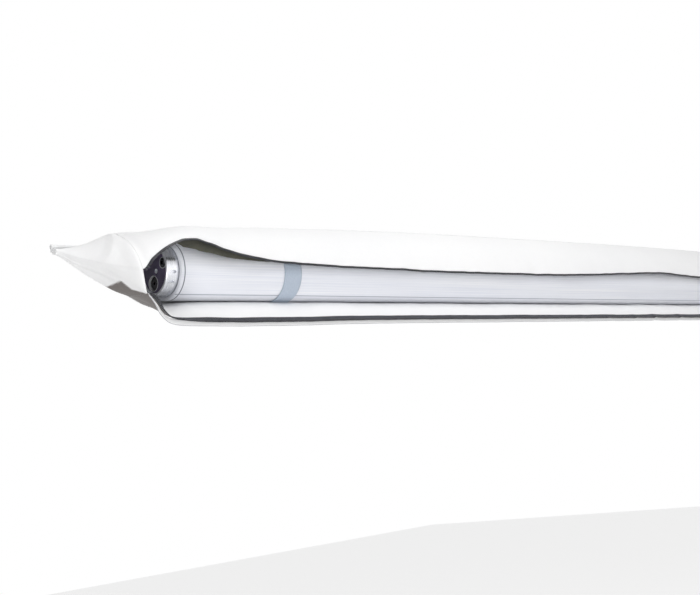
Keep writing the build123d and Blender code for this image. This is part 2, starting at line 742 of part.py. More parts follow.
# Support legs: outer tube with a plug, turning collar, inner tube and foot
leg_face = half_roller - leg_setback
leg_inner_radius = leg_tube_radius - leg_tube_wall - leg_slide_clearance
foot_back = leg_face - foot_length
collar_face = foot_back - collar_gap
outer_face = collar_face - leg_collar_length + leg_collar_overlap
plug_face = bulkhead_thickness / 2 + clearance
outer_back = plug_face + leg_plug_length
leg_inner_end = leg_face - foot_length + foot_socket_depth - clearance
leg_inner_back = outer_back + leg_plug_stem + leg_inner_shortfall
for side, sign in (("left", -1), ("right", 1)):
    with BuildPart() as leg_outer:
        with BuildSketch(roll_plane(sign * (outer_back + clearance))):
            with Locations(leg_place):
                Circle(leg_tube_radius)
                Circle(leg_tube_radius - leg_tube_wall, mode=Mode.SUBTRACT)
        extrude(amount=sign * (outer_face - outer_back - clearance))
    leg_outer.part.label = f"leg_outer_{side}"
    export_step(leg_outer.part, f"parts/leg_outer_{side}.step")

    with BuildPart() as leg_plug:
        with BuildSketch(roll_plane(sign * plug_face)):
            with Locations(leg_place):
                Circle(leg_collar_radius)
        extrude(amount=sign * leg_plug_length)
        with BuildSketch(roll_plane(sign * outer_back)):
            with Locations(leg_place):
                Circle(leg_tube_radius - leg_tube_wall - seat_clearance)
        extrude(amount=sign * leg_plug_stem)
    leg_plug.part.label = f"leg_plug_{side}"
    export_step(leg_plug.part, f"parts/leg_plug_{side}.step")

    with BuildPart() as leg_collar:
        with BuildSketch(roll_plane(sign * (collar_face - leg_collar_length))):
            with Locations(leg_place):
                Circle(leg_collar_radius)
                with PolarLocations(leg_collar_radius, grip_count):
                    Circle(grip_radius, mode=Mode.SUBTRACT)
                Circle(leg_inner_radius + leg_slide_clearance, mode=Mode.SUBTRACT)
        extrude(amount=sign * leg_collar_length)
        with BuildSketch(roll_plane(sign * (collar_face - leg_collar_length))):
            with Locations(leg_place):
                Circle(leg_tube_radius + clearance)
        extrude(amount=sign * (leg_collar_overlap + clearance), mode=Mode.SUBTRACT)
    leg_collar.part.label = f"leg_collar_{side}"
    export_step(leg_collar.part, f"parts/leg_collar_{side}.step")

    with BuildPart() as leg_inner:
        with BuildSketch(roll_plane(sign * leg_inner_back)):
            with Locations(leg_place):
                Circle(leg_inner_radius)
                Circle(leg_inner_radius - leg_inner_wall, mode=Mode.SUBTRACT)
        extrude(amount=sign * (leg_inner_end - leg_inner_back))
    leg_inner.part.label = f"leg_inner_{side}"
    export_step(leg_inner.part, f"parts/leg_inner_{side}.step")

    with BuildPart() as leg_foot:
        with BuildSketch(roll_plane(sign * foot_back)):
            with Locations(leg_place):
                Circle(foot_radius)
        extrude(amount=sign * foot_length)
        chamfer(leg_foot.faces().sort_by(Axis.X)[-1 if sign > 0 else 0].edges(), foot_dome)
        with BuildSketch(roll_plane(sign * foot_back)):
            with Locations(leg_place):
                Circle(leg_inner_radius + seat_clearance)
        extrude(amount=sign * foot_socket_depth, mode=Mode.SUBTRACT)
        with BuildSketch(roll_plane(sign * foot_back)):
            with Locations(leg_place):
                Circle(foot_hole_radius)
        extrude(amount=sign * foot_length, mode=Mode.SUBTRACT)
    leg_foot.part.label = f"leg_foot_{side}"
    export_step(leg_foot.part, f"parts/leg_foot_{side}.step")

# Tension rafters: outer tube with a plug, turning collar, inner tube and forked tip
rafter_face = half_roller - rafter_setback
rafter_inner_radius = rafter_tube_radius - rafter_tube_wall - rafter_slide_clearance
tip_back = rafter_face - rafter_tip_length
rafter_collar_face = tip_back - collar_gap
rafter_outer_face = rafter_collar_face - rafter_collar_length + rafter_collar_overlap
rafter_outer_back = plug_face + rafter_plug_length
rafter_inner_end = tip_back + rafter_tip_socket - clearance
rafter_inner_back = rafter_outer_back + rafter_plug_stem + leg_inner_shortfall
for side, sign in (("left", -1), ("right", 1)):
    with BuildPart() as rafter_outer:
        with BuildSketch(roll_plane(sign * (rafter_outer_back + clearance))):
            with Locations(rafter_place):
                Circle(rafter_tube_radius)
                Circle(rafter_tube_radius - rafter_tube_wall, mode=Mode.SUBTRACT)
        extrude(amount=sign * (rafter_outer_face - rafter_outer_back - clearance))
    rafter_outer.part.label = f"rafter_outer_{side}"
    export_step(rafter_outer.part, f"parts/rafter_outer_{side}.step")

    with BuildPart() as rafter_plug:
        with BuildSketch(roll_plane(sign * plug_face)):
            with Locations(rafter_place):
                Circle(rafter_collar_radius)
        extrude(amount=sign * rafter_plug_length)
        with BuildSketch(roll_plane(sign * rafter_outer_back)):
            with Locations(rafter_place):
                Circle(rafter_tube_radius - rafter_tube_wall - seat_clearance)
        extrude(amount=sign * rafter_plug_stem)
    rafter_plug.part.label = f"rafter_plug_{side}"
    export_step(rafter_plug.part, f"parts/rafter_plug_{side}.step")

    with BuildPart() as rafter_collar:
        with BuildSketch(roll_plane(sign * (rafter_collar_face - rafter_collar_length))):
            with Locations(rafter_place):
                Circle(rafter_collar_radius)
                with PolarLocations(rafter_collar_radius, grip_count):
                    Circle(grip_radius / 2, mode=Mode.SUBTRACT)
                Circle(rafter_inner_radius + rafter_slide_clearance, mode=Mode.SUBTRACT)
        extrude(amount=sign * rafter_collar_length)
        with BuildSketch(roll_plane(sign * (rafter_collar_face - rafter_collar_length))):
            with Locations(rafter_place):
                Circle(rafter_tube_radius + clearance)
        extrude(amount=sign * (rafter_collar_overlap + clearance), mode=Mode.SUBTRACT)
    rafter_collar.part.label = f"rafter_collar_{side}"
    export_step(rafter_collar.part, f"parts/rafter_collar_{side}.step")

    with BuildPart() as rafter_inner:
        with BuildSketch(roll_plane(sign * rafter_inner_back)):
            with Locations(rafter_place):
                Circle(rafter_inner_radius)
                Circle(rafter_inner_radius - rafter_inner_wall, mode=Mode.SUBTRACT)
        extrude(amount=sign * (rafter_inner_end - rafter_inner_back))
    rafter_inner.part.label = f"rafter_inner_{side}"
    export_step(rafter_inner.part, f"parts/rafter_inner_{side}.step")

    with BuildPart() as rafter_tip:
        with BuildSketch(roll_plane(sign * tip_back)):
            with Locations(rafter_place):
                Circle(rafter_tip_radius)
        extrude(amount=sign * rafter_tip_length)
        with BuildSketch(roll_plane(sign * tip_back)):
            with Locations(rafter_place):
                Circle(rafter_inner_radius + seat_clearance)
        extrude(amount=sign * rafter_tip_socket, mode=Mode.SUBTRACT)
        with BuildSketch(roll_plane(sign * rafter_face)):
            with Locations(rafter_place):
                Rectangle(rafter_hook_width, rafter_tip_radius * 3)
        extrude(amount=-sign * rafter_hook_depth, mode=Mode.SUBTRACT)
    rafter_tip.part.label = f"rafter_tip_{side}"
    export_step(rafter_tip.part, f"parts/rafter_tip_{side}.step")

# Zip slider, parked at the right end of the lower row of teeth, and its pull
lower_edge = floor_arc(*level_floor)
edge_along = end_direction(*lower_edge)
edge_side = (-edge_along[1], edge_along[0])
coil_middle = (coil_start + coil_end) / 2


def zip_plane(x, along_shift, side_shift):
    """The plane across the zip at x, turned so that its first axis runs out of the tape."""
    y = lower_edge[2][0] + edge_along[0] * along_shift + edge_side[0] * side_shift
    z = lower_edge[2][1] + edge_along[1] * along_shift + edge_side[1] * side_shift
    return Plane(origin=(x, y, z), x_dir=(0, edge_along[0], edge_along[1]), z_dir=(1, 0, 0))


slot_width = zip_coil_width + 2 * clearance
slot_height = zip_coil_height + 2 * clearance
body_width = slot_width + 2 * slider_wall
body_height = slot_height + 2 * slider_wall
pull_side = 1 if edge_side[1] > 0 else -1
slider_park = half_mouth - slider_setback
pin_x = slider_park + slider_length / 2
pin_height = pull_eye_radius + clearance
pin_shift = pull_side * (body_height / 2 + pin_height)
lug_height = pin_height + pull_pin
lug_wall = slider_wall / 2
lug_place = pull_neck / 2 + clearance + lug_wall / 2
with BuildPart() as zip_slider:
    with BuildSketch(zip_plane(slider_park, coil_middle, 0)):
        Rectangle(body_width, body_height)
        Rectangle(slot_width, slot_height, mode=Mode.SUBTRACT)
        with Locations((-body_width / 2, 0)):
            Rectangle(body_width, zip_tape + 2 * clearance, mode=Mode.SUBTRACT)
    extrude(amount=slider_length)
    for lug_shift in (-lug_place, lug_place):
        with BuildSketch(zip_plane(pin_x - pull_pin, coil_middle, 0)):
            with Locations((lug_shift, pull_side * (body_height + lug_height) / 2)):
                Rectangle(lug_wall, lug_height)
        extrude(amount=2 * pull_pin)
    with BuildSketch(zip_plane(pin_x - pull_pin / 2, coil_middle, pin_shift)):
        Rectangle(2 * lug_place, pull_pin)
    extrude(amount=pull_pin)
zip_slider.part.label = "zip_slider"
export_step(zip_slider.part, "parts/zip_slider.step")

# Pull tab: it lies towards the middle of the awning and swings over the slider
pin_plane = zip_plane(pin_x, coil_middle, pin_shift)
tab_plane = Plane(
    origin=pin_plane.origin, x_dir=(-1, 0, 0), z_dir=(0, pull_side * edge_side[0], pull_side * edge_side[1])
)
eye_plane = Plane(origin=pin_plane.origin, x_dir=(1, 0, 0), z_dir=(0, edge_along[0], edge_along[1]))
with BuildPart() as zip_pull:
    with BuildSketch(tab_plane):
        with Locations((pull_neck_length / 2, 0)):
            Rectangle(pull_neck_length, pull_neck)
        with Locations(((pull_neck_length + pull_length) / 2, 0)):
            RectangleRounded(pull_length - pull_neck_length, pull_width, pull_width / 3)
    extrude(amount=pull_thickness / 2, both=True)
    with BuildSketch(eye_plane):
        Circle(pull_eye_radius)
    extrude(amount=pull_neck / 2, both=True)
    with BuildSketch(eye_plane):
        Circle(pull_hole_radius)
    extrude(amount=pull_neck, both=True, mode=Mode.SUBTRACT)
zip_pull.part.label = "zip_pull"
export_step(zip_pull.part, "parts/zip_pull.step")
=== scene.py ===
import math

import bpy
import numpy as np
from mathutils import Matrix, Vector


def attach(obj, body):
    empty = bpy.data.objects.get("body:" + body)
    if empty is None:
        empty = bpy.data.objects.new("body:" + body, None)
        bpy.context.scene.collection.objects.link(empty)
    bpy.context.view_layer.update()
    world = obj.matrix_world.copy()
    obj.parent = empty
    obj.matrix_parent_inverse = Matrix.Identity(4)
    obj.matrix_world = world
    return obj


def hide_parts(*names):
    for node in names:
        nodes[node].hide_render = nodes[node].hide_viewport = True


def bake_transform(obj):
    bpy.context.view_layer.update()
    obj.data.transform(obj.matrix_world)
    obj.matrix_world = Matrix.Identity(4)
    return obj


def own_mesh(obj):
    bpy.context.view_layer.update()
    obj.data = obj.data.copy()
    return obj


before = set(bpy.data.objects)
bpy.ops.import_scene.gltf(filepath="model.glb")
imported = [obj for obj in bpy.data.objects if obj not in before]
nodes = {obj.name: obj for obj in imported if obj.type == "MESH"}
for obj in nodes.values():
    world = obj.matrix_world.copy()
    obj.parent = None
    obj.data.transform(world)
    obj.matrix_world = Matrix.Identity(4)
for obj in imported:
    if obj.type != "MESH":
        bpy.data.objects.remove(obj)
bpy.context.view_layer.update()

# Sizes in millimetres, as in the part; every mesh is turned into metres when it is made
MM = 0.001
HALF_MOUTH = 1256.0
POUCH = 86.0
ROLL = 48.0
ROLL_Y = -62.0
ROLL_Z = -48.0
SHEET = 1.2
CLOTH = 0.5
GAP = 0.3
BEAD = 3.5
TAIL_DROP = 20.0
TAIL_SHEET = 1.0
TAPE = 0.8
TAPE_WIDTH = 7.0
TEETH_WIDTH = 3.0
TEETH_HEIGHT = 2.2
TEETH_PITCH = 2.6
TAPE_GAP = 0.15  # between a tape and the sheet that it is sewn to
TAPE_TUCK = 2.5  # a tape starts this far in from the edge of its sheet
TAPE_FREE = 0.6  # and reaches this far under its teeth
TUBE = 41.5
HALF_CLOTH = 1176.0
SEAM_PLACE = 0.126  # metres of cloth from the roll's top
HEM_FORWARD = 4.0  # the hem starts this far outside the lower edge
HEM_DROP = 9.0  # and stands this far away from it
HEM_NARROW = 0.12  # its share of that at its pointed ends
HEM_TAPER = 34.0  # and the length over which it widens from them
HEM_SHIFT = 5.0  # where it turns round a corner it leaves this much more of the tape bare
BINDING = 0.55
TAPE_OVER = 6.6  # the flap's sheet covers this much of its tape
POUCH_BACK = BEAD + GAP + SHEET / 2

# Folds of the top and of the flap that hangs over the roll: place along the opening as a share of
# its half, then the crown's height, the edge (out from the wall, up) and the bulge, as shares of
# the roll's radius from the roll's axis
FOLD_SHARES = np.array((
    (-1.000, 1.15, -1.16, -0.07, 0.18),
    (-0.986, 1.25, -1.20, 0.30, 0.19),
    (-0.962, 1.28, -1.32, 0.72, 0.21),
    (-0.940, 1.28, -1.40, 0.92, 0.24),
    (-0.922, 1.34, -1.41, 0.95, 0.26),
    (-0.902, 1.44, -1.39, 0.84, 0.28),
    (-0.855, 1.57, -1.32, 0.57, 0.28),
    (-0.802, 1.68, -1.24, 0.40, 0.26),
    (-0.730, 1.74, -1.19, 0.32, 0.24),
    (-0.600, 1.83, -1.17, 0.26, 0.22),
    (-0.400, 1.91, -1.17, 0.22, 0.22),
    (-0.143, 1.94, -1.17, 0.26, 0.22),
    (0.040, 1.96, -1.18, 0.42, 0.23),
    (0.166, 1.96, -1.19, 0.52, 0.24),
    (0.320, 1.94, -1.17, 0.39, 0.22),
    (0.520, 1.88, -1.17, 0.28, 0.22),
    (0.730, 1.74, -1.19, 0.33, 0.24),
    (0.855, 1.57, -1.32, 0.60, 0.28),
    (0.905, 1.42, -1.39, 0.82, 0.28),
    (0.962, 1.28, -1.32, 0.66, 0.22),
    (1.000, 1.15, -1.16, -0.07, 0.18),
))
# Bottom of the bag in the same shares: the foot of its wall side, its height under the roll and
# its front edge, which turns round a soft corner at each end
FLOOR_SHARES = np.array((
    (-1.000, -0.10, -0.80, -1.300, -1.020),
    (-0.996, -0.14, -0.83, -1.310, -1.080),
    (-0.992, -0.20, -0.86, -1.325, -1.180),
    (-0.9865, -0.28, -0.90, -1.335, -1.350),
    (-0.9817, -0.35, -0.93, -1.340, -1.540),
    (-0.977, -0.41, -1.03, -1.345, -1.680),
    (-0.971, -0.48, -1.11, -1.350, -1.785),
    (-0.960, -0.62, -1.20, -1.354, -1.845),
    (-0.938, -0.90, -1.16, -1.354, -1.865),
    (-0.915, -1.04, -1.08, -1.354, -1.865),
    (-0.800, -1.04, -1.04, -1.354, -1.865),
    (-0.600, -1.04, -1.04, -1.354, -1.820),
    (0.600, -1.04, -1.04, -1.354, -1.805),
    (0.900, -1.04, -1.08, -1.354, -1.790),
    (0.938, -0.90, -1.16, -1.354, -1.790),
    (0.960, -0.62, -1.20, -1.354, -1.780),
    (0.971, -0.48, -1.11, -1.350, -1.735),
    (0.977, -0.41, -1.03, -1.345, -1.660),
    (0.9817, -0.35, -0.93, -1.340, -1.540),
    (0.9865, -0.28, -0.90, -1.335, -1.350),
    (0.992, -0.20, -0.86, -1.325, -1.180),
    (0.996, -0.14, -0.83, -1.310, -1.080),
    (1.000, -0.10, -0.80, -1.300, -1.020),
))
# Closed end pouches: place along the pouch, then its top, front and bottom corner (out, up each)
# and its foot at the wall, as shares of the roll's radius from the bead
POUCH_SHARES = np.array((
    (0.00, -1.25, 0.15, -2.42, -1.10, -1.34, -1.84, -1.15),
    (0.22, -1.00, 0.06, -1.96, -1.00, -1.10, -1.60, -1.00),
    (0.46, -0.72, -0.06, -1.38, -0.80, -0.72, -1.22, -0.78),
    (0.74, -0.40, -0.12, -0.72, -0.50, -0.38, -0.72, -0.46),
    (1.00, -0.22, -0.13, -0.26, -0.22, -0.18, -0.31, -0.28),
))
HANDOVER = 0.45  # share of the pouch's length over which the bag's end section fades out
POUCH_BULGES = np.array((0.09, 0.05, 0.02, 0.01))  # of its four sides, as shares of its depth
TOP_BULGE = 0.24
# From and to where the ripples die out and the grey painted shade on the underside begins, from the middle
FLAP_CALM = (1150.0, 1240.0)
FLOOR_CALM = (1170.0, 1220.0)
UNDERSIDE_SHADE_EDGE = (1120.0, 1150.0)
# The side of each sheet that its tape lies on, as the sign of the turn from the edge's run
INNER_SIDE_UPPER = 1
INNER_SIDE_LOWER = -1
# Straps: place, thickness, half width, degrees that the strap and its slack tail cover, and how
# far the tail's end stands off
STRAP_PLACE = 942.0
STRAP_THICK, STRAP_HALF = 1.1, 19.0
STRAP_TURN = (97.0, 400.0)
STRAP_TAIL = (262.0, 292.5)
STRAP_LIFT = 2.2
SELVEDGE = 0.22  # share of it that is rounded off
WOUND_SHARE = 0.86  # of the cloth's thickness, so that two turns on the roll don't touch
LEADER_RISE = 1.15  # the leader is level again this much before the roll's top
CAP_SHARE = 0.02  # a closed piece ends in its own outline at this size


# Curves

def even(count):
    """Even shares from 0 to 1."""
    return np.linspace(0.0, 1.0, count)


def eased(table, at):
    """Columns of a table at new places: cubic Hermite pieces whose slope is the harmonic mean of
    the two stretches beside a row, and level at a peak, a dip and both ends."""
    place, columns = table[:, 0], table[:, 1:]
    gap = np.diff(place)[:, None]
    step = np.diff(columns, axis=0) / gap
    both = step[:-1] * step[1:]
    total = np.where(both > 0, step[:-1] + step[1:], 1.0)
    slope = np.zeros_like(columns)
    slope[1:-1] = np.where(both > 0, 2 * both / total, 0.0)
    row = np.clip(np.searchsorted(place, at, side="right") - 1, 0, len(place) - 2)
    t = ((at - place[row]) / np.diff(place)[row])[:, None]
    ease = t * t * (3 - 2 * t)
    lean = gap[row] * t * (1 - t) * ((1 - t) * slope[row] - t * slope[row + 1])
    return ((1 - ease) * columns[row] + ease * columns[row + 1] + lean).T


def arc(start, middle, end, t):
    """Points of the circular arcs through three points each: centre from the three perpendicular
    bisectors, then the angle runs evenly from start to end. Returns rows x t x (y, z)."""
    (ax, ay), (bx, by), (cx, cy) = start.T, middle.T, end.T
    twice = 2 * (ax * (by - cy) + bx * (cy - ay) + cx * (ay - by))
    a2, b2, c2 = ax**2 + ay**2, bx**2 + by**2, cx**2 + cy**2
    centre = np.stack((
        (a2 * (by - cy) + b2 * (cy - ay) + c2 * (ay - by)) / twice,
        (a2 * (cx - bx) + b2 * (ax - cx) + c2 * (bx - ax)) / twice,
    ), axis=1)
    radius = np.linalg.norm(start - centre, axis=1)
    first = np.arctan2(*(start - centre).T[::-1])
    sweep = np.arctan2(*(end - centre).T[::-1]) - first
    sweep = (sweep + math.pi) % (2 * math.pi) - math.pi
    angle = first[:, None] + sweep[:, None] * t
    circle = np.stack((np.cos(angle), np.sin(angle)), axis=2)
    return centre[:, None] + radius[:, None, None] * circle


def unit(rows):
    """Vectors in rows, brought to length one."""
    return rows / np.linalg.norm(rows, axis=1, keepdims=True)


def bulged(start, end, bulge):
    """The middle of an arc that stands out by bulge on the right of its chord."""
    run = unit(end - start)
    right = np.stack((run[:, 1], -run[:, 0]), axis=1)
    return (start + end) / 2 + right * np.reshape(bulge, (-1, 1))


def pairs(y, z):
    """Rows of (y, z) from numbers or arrays."""
    y, z = np.broadcast_arrays(np.asarray(y, float), np.asarray(z, float))
    return np.stack((y, z), axis=-1)


def cell(out, up):
    """The place of shares of the roll's radius, measured from the roll's axis."""
    return pairs(ROLL_Y + out * ROLL, ROLL_Z + up * ROLL)


def top_path(x, t):
    """The top of the bag across the awning: from the bead up to the crown."""
    height = eased(FOLD_SHARES, x / HALF_MOUTH)[0]
    start = pairs(np.full_like(x, -POUCH_BACK), GAP)
    end = cell(np.zeros_like(x), height)
    return arc(start, bulged(start, end, TOP_BULGE * ROLL), end, t)


def flap_path(x, t):
    """The flap across the awning: from the crown down to the zip's edge."""
    height, out, up, bulge = eased(FOLD_SHARES, x / HALF_MOUTH)
    start = cell(np.zeros_like(x), height)
    end = cell(out, up)
    return arc(start, bulged(start, end, bulge * ROLL), end, t)


def floor_path(x, t):
    """The bottom of the bag across the awning: from the wall side to the zip's lower edge."""
    foot, under, out, up = eased(FLOOR_SHARES, x / HALF_MOUTH)
    start = pairs(np.full_like(x, -GAP), ROLL_Z + foot * ROLL)
    return arc(start, cell(np.zeros_like(x), under), cell(out, up), t)


def edge_of(path, x):
    """A path's end points and the unit direction in which it runs off there."""
    last = path(x, np.array((0.98, 1.0)))
    return last[:, 1], unit(last[:, 1] - last[:, 0])


# Meshes

def surface(name, points, closed=False, uv=None):
    """A mesh object from a grid of points in millimetres, u x v x 3: a quad between each four
    neighbours, with the last column joined to the first where the grid is closed."""
    nu, nv = points.shape[:2]
    index = np.arange(nu * nv).reshape(nu, nv)
    if closed:
        index = np.concatenate((index, index[:, :1]), axis=1)
    quads = np.stack((index[:-1, :-1], index[1:, :-1], index[1:, 1:], index[:-1, 1:]), axis=2)
    return mesh_object(name, points.reshape(-1, 3), quads.reshape(-1, 4), uv)


def placed(name, data):
    """A new object in the scene that holds the data."""
    thing = bpy.data.objects.new(name, data)
    bpy.context.scene.collection.objects.link(thing)
    return thing


def mesh_object(name, points, quads, uv=None, smooth=True):
    """A mesh object from points in millimetres and a table of four-cornered faces; uv holds one
    pair for each point, in metres of cloth."""
    mesh = bpy.data.meshes.new(name)
    mesh.vertices.add(len(points))
    mesh.vertices.foreach_set("co", (points * MM).astype(np.float32).ravel())
    mesh.loops.add(quads.size)
    mesh.loops.foreach_set("vertex_index", quads.astype(np.int32).ravel())
    mesh.polygons.add(len(quads))
    mesh.polygons.foreach_set("loop_start", np.arange(0, quads.size, 4, dtype=np.int32))
    mesh.polygons.foreach_set("use_smooth", np.full(len(quads), smooth))
    if uv is not None:
        layer = mesh.uv_layers.new(name="cloth")
        layer.data.foreach_set("uv", (uv.reshape(-1, 2)[quads.ravel()] * MM).astype(np.float32).ravel())
    mesh.update(calc_edges=True)
    mesh.validate()
    return placed(name, mesh)


def across(x, path):
    """A grid of points from places along the awning and a path of (y, z) at each."""
    spread = np.broadcast_to(x[:, None, None], (*path.shape[:2], 1))
    return np.concatenate((spread, path), axis=2)


def measured(points):
    """Lengths along both ways of a grid, in millimetres, as its uv."""
    u = np.cumsum(np.linalg.norm(np.diff(points, axis=0, prepend=points[:1]), axis=2), axis=0)
    v = np.cumsum(np.linalg.norm(np.diff(points, axis=1, prepend=points[:, :1]), axis=2), axis=1)
    return np.stack((np.broadcast_to(u[:, :1], u.shape), v), axis=2)


def pushed(points, depth):
    """The grid moved along its normals, which are the cross product of its two directions."""
    normal = np.cross(np.gradient(points, axis=0), np.gradient(points, axis=1))
    normal /= np.linalg.norm(normal, axis=2, keepdims=True) + 1e-9
    return points + normal * depth[..., None]


def shade_patch(thing, amount):
    """Stores how much grey painted shade falls on the bag's underside at each point, for the material."""
    layer = thing.data.attributes.new("underside_shade", "FLOAT", "POINT")
    layer.data.foreach_set("value", amount.astype(np.float32).ravel())


def ramp(value, low, high):
    """Zero below one value and one above the other, straight between them."""
    return np.clip((value - low) / (high - low), 0.0, 1.0)


def thicken(thing, thickness, offset=0.0):
    """Gives a sheet its thickness, in millimetres, about its mid surface."""
    wall = thing.modifiers.new("thickness", "SOLIDIFY")
    wall.thickness = thickness * MM
    wall.offset = offset
    wall.use_even_offset = False


def finish_piece(thing, material, slot, body=None, node=None):
    """Puts the material on a piece, lets it ride on a body and names the node that it stands for;
    its slot is not used."""
    thing.data.materials.clear()
    thing.data.materials.append(material)
    if body:
        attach(thing, body)
    if node:
        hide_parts(node)


def spaced(reach, count):
    """Places along the awning that crowd towards both ends, as a sine of even steps."""
    return reach * np.sin(np.linspace(-math.pi / 2, math.pi / 2, count))


def make_sheet(name, grid, wall, looks, node, flat=None):
    """A sheet with its thickness, looks and node. The flat grid holds its lengths
    before it rippled."""
    flat = grid if flat is None else flat
    made = surface(name, grid, uv=measured(flat))
    thicken(made, wall)
    finish_piece(made, *looks, node=node)
    return made


def ripple(x, seed, longest, count):
    """A smooth wave along the awning: sines whose lengths fall from the longest one, with fixed
    random phases, scaled to about plus and minus one."""
    rng = np.random.default_rng(seed)
    lengths = longest * 0.62 ** np.arange(count)
    phase = rng.uniform(0, 2 * math.pi, count)
    waves = np.sin(2 * math.pi * x[..., None] / lengths + phase) * 0.75 ** np.arange(count)
    return waves.sum(axis=-1) / 1.8


def dome(value, centre, width):
    """A bump of height one at the centre that falls off as a bell curve."""
    return np.exp(-((value - centre) / width) ** 2)


# Materials

def node_group(name, inputs, outputs):
    """A shader group with float or colour sockets; each input is (name, type, default)."""
    group = bpy.data.node_groups.new(name, "ShaderNodeTree")
    for label, kind, default in inputs:
        socket = group.interface.new_socket(label, in_out="INPUT", socket_type=kind)
        if default is not None:
            socket.default_value = default
    for label, kind in outputs:
        group.interface.new_socket(label, in_out="OUTPUT", socket_type=kind)
    group.nodes.new("NodeGroupInput")
    group.nodes.new("NodeGroupOutput")
    return group


def feed(tree, socket, value):
    """Links a socket to another node's output, or sets it to a value."""
    if isinstance(value, bpy.types.NodeSocket):
        tree.links.new(value, socket)
    else:
        socket.default_value = value


def add(tree, kind, **values):
    """A node with its properties and inputs set or linked; inputs are given as in_Name, with a low
    line for each space in the name."""
    node = tree.nodes.new(kind)
    for key, value in values.items():
        if key.startswith("in_"):
            feed(tree, node.inputs[key[3:].replace("_", " ")], value)
        else:
            setattr(node, key, value)
    return node


def maths(tree, operation, *operands):
    """A maths node; each operand is a number or another node's output."""
    node = add(tree, "ShaderNodeMath", operation=operation)
    for socket, value in zip(node.inputs, operands):
        feed(tree, socket, value)
    return node.outputs[0]


def weighed(tree, first, first_share, second, second_share):
    """The sum of two values, each multiplied by its share."""
    first = maths(tree, "MULTIPLY", first, first_share)
    second = maths(tree, "MULTIPLY", second, second_share)
    return maths(tree, "ADD", first, second)


def mixed(tree, factor, first, second):
    """A colour mix; each colour is an RGBA tuple or another node's output."""
    node = add(tree, "ShaderNodeMix", data_type="RGBA")
    for place, value in ((0, factor), (6, first), (7, second)):
        feed(tree, node.inputs[place], value)
    return node.outputs[2]


def rgb(red, green, blue):
    """A display colour from 0 to 255 as a linear one."""
    value = np.array((red, green, blue)) / 255
    linear = np.where(value <= 0.04045, value / 12.92, ((value + 0.055) / 1.055) ** 2.4)
    return (*(float(v) for v in linear), 1.0)


def split(tree, vector):
    """The outputs X, Y and Z of a vector."""
    return add(tree, "ShaderNodeSeparateXYZ", in_Vector=vector).outputs


def noise(tree, vector, scale, detail=4.0, roughness=0.55):
    """Fractal noise on a vector, from 0 to 1."""
    return add(tree, "ShaderNodeTexNoise", in_Vector=vector, in_Scale=scale, in_Detail=detail,
               in_Roughness=roughness).outputs["Fac"]


def ranged(tree, value, low, high, to_low=0.0, to_high=1.0):
    """A value stretched from one range to another and held inside it."""
    return add(tree, "ShaderNodeMapRange", clamp=True, in_Value=value, in_From_Min=low,
               in_From_Max=high, in_To_Min=to_low, in_To_Max=to_high).outputs["Result"]


def scaled(tree, vector, x, y, z):
    """A vector with each part multiplied."""
    return add(tree, "ShaderNodeMapping", in_Vector=vector, in_Scale=(x, y, z)).outputs["Vector"]


def make_mottle():
    """Slow colour change between two tones with fine specks: large noise plus small noise."""
    group = node_group("mottle", (
        ("Vector", "NodeSocketVector", None), ("Tone", "NodeSocketColor", (1, 1, 1, 1)),
        ("Other tone", "NodeSocketColor", (1, 1, 1, 1)), ("Large", "NodeSocketFloat", 4.0),
        ("Small", "NodeSocketFloat", 120.0),
    ), (("Color", "NodeSocketColor"), ("Mask", "NodeSocketFloat")))
    inside, out = group.nodes["Group Input"], group.nodes["Group Output"]
    values = []
    for label in ("Large", "Small"):
        node = add(group, "ShaderNodeTexNoise", in_Detail=4.0, in_Vector=inside.outputs["Vector"],
                   in_Scale=inside.outputs[label])
        values.append(node.outputs["Fac"])
    mask = ranged(group, weighed(group, values[0], 0.7, values[1], 0.3), 0.32, 0.68)
    colour = mixed(group, mask, inside.outputs["Tone"], inside.outputs["Other tone"])
    group.links.new(colour, out.inputs["Color"])
    group.links.new(mask, out.inputs["Mask"])
    return group


def make_weave():
    """Threads over and under: two sine waves along the cloth's uv, one crossing the other, where
    the larger one lies on top. Puts out the height and a mask of the gaps between threads."""
    group = node_group("weave", (
        ("Vector", "NodeSocketVector", None), ("Threads", "NodeSocketFloat", 900.0),
        ("Ribs", "NodeSocketFloat", 900.0),
    ), (("Height", "NodeSocketFloat"), ("Gaps", "NodeSocketFloat")))
    inside, out = group.nodes["Group Input"], group.nodes["Group Output"]
    parts = split(group, inside.outputs["Vector"])
    waves = []
    for axis, label in (("X", "Threads"), ("Y", "Ribs")):
        turn = maths(group, "MULTIPLY", parts[axis], inside.outputs[label])
        waves.append(maths(group, "SINE", maths(group, "MULTIPLY", turn, 2 * math.pi)))
    product = maths(group, "MULTIPLY", waves[0], waves[1])
    height = maths(group, "MULTIPLY_ADD", product, 0.5, 0.5)
    group.links.new(height, out.inputs["Height"])
    group.links.new(ranged(group, height, 0.0, 0.3, 1.0, 0.0), out.inputs["Gaps"])
    return group


MOTTLE = make_mottle()
WEAVE = make_weave()


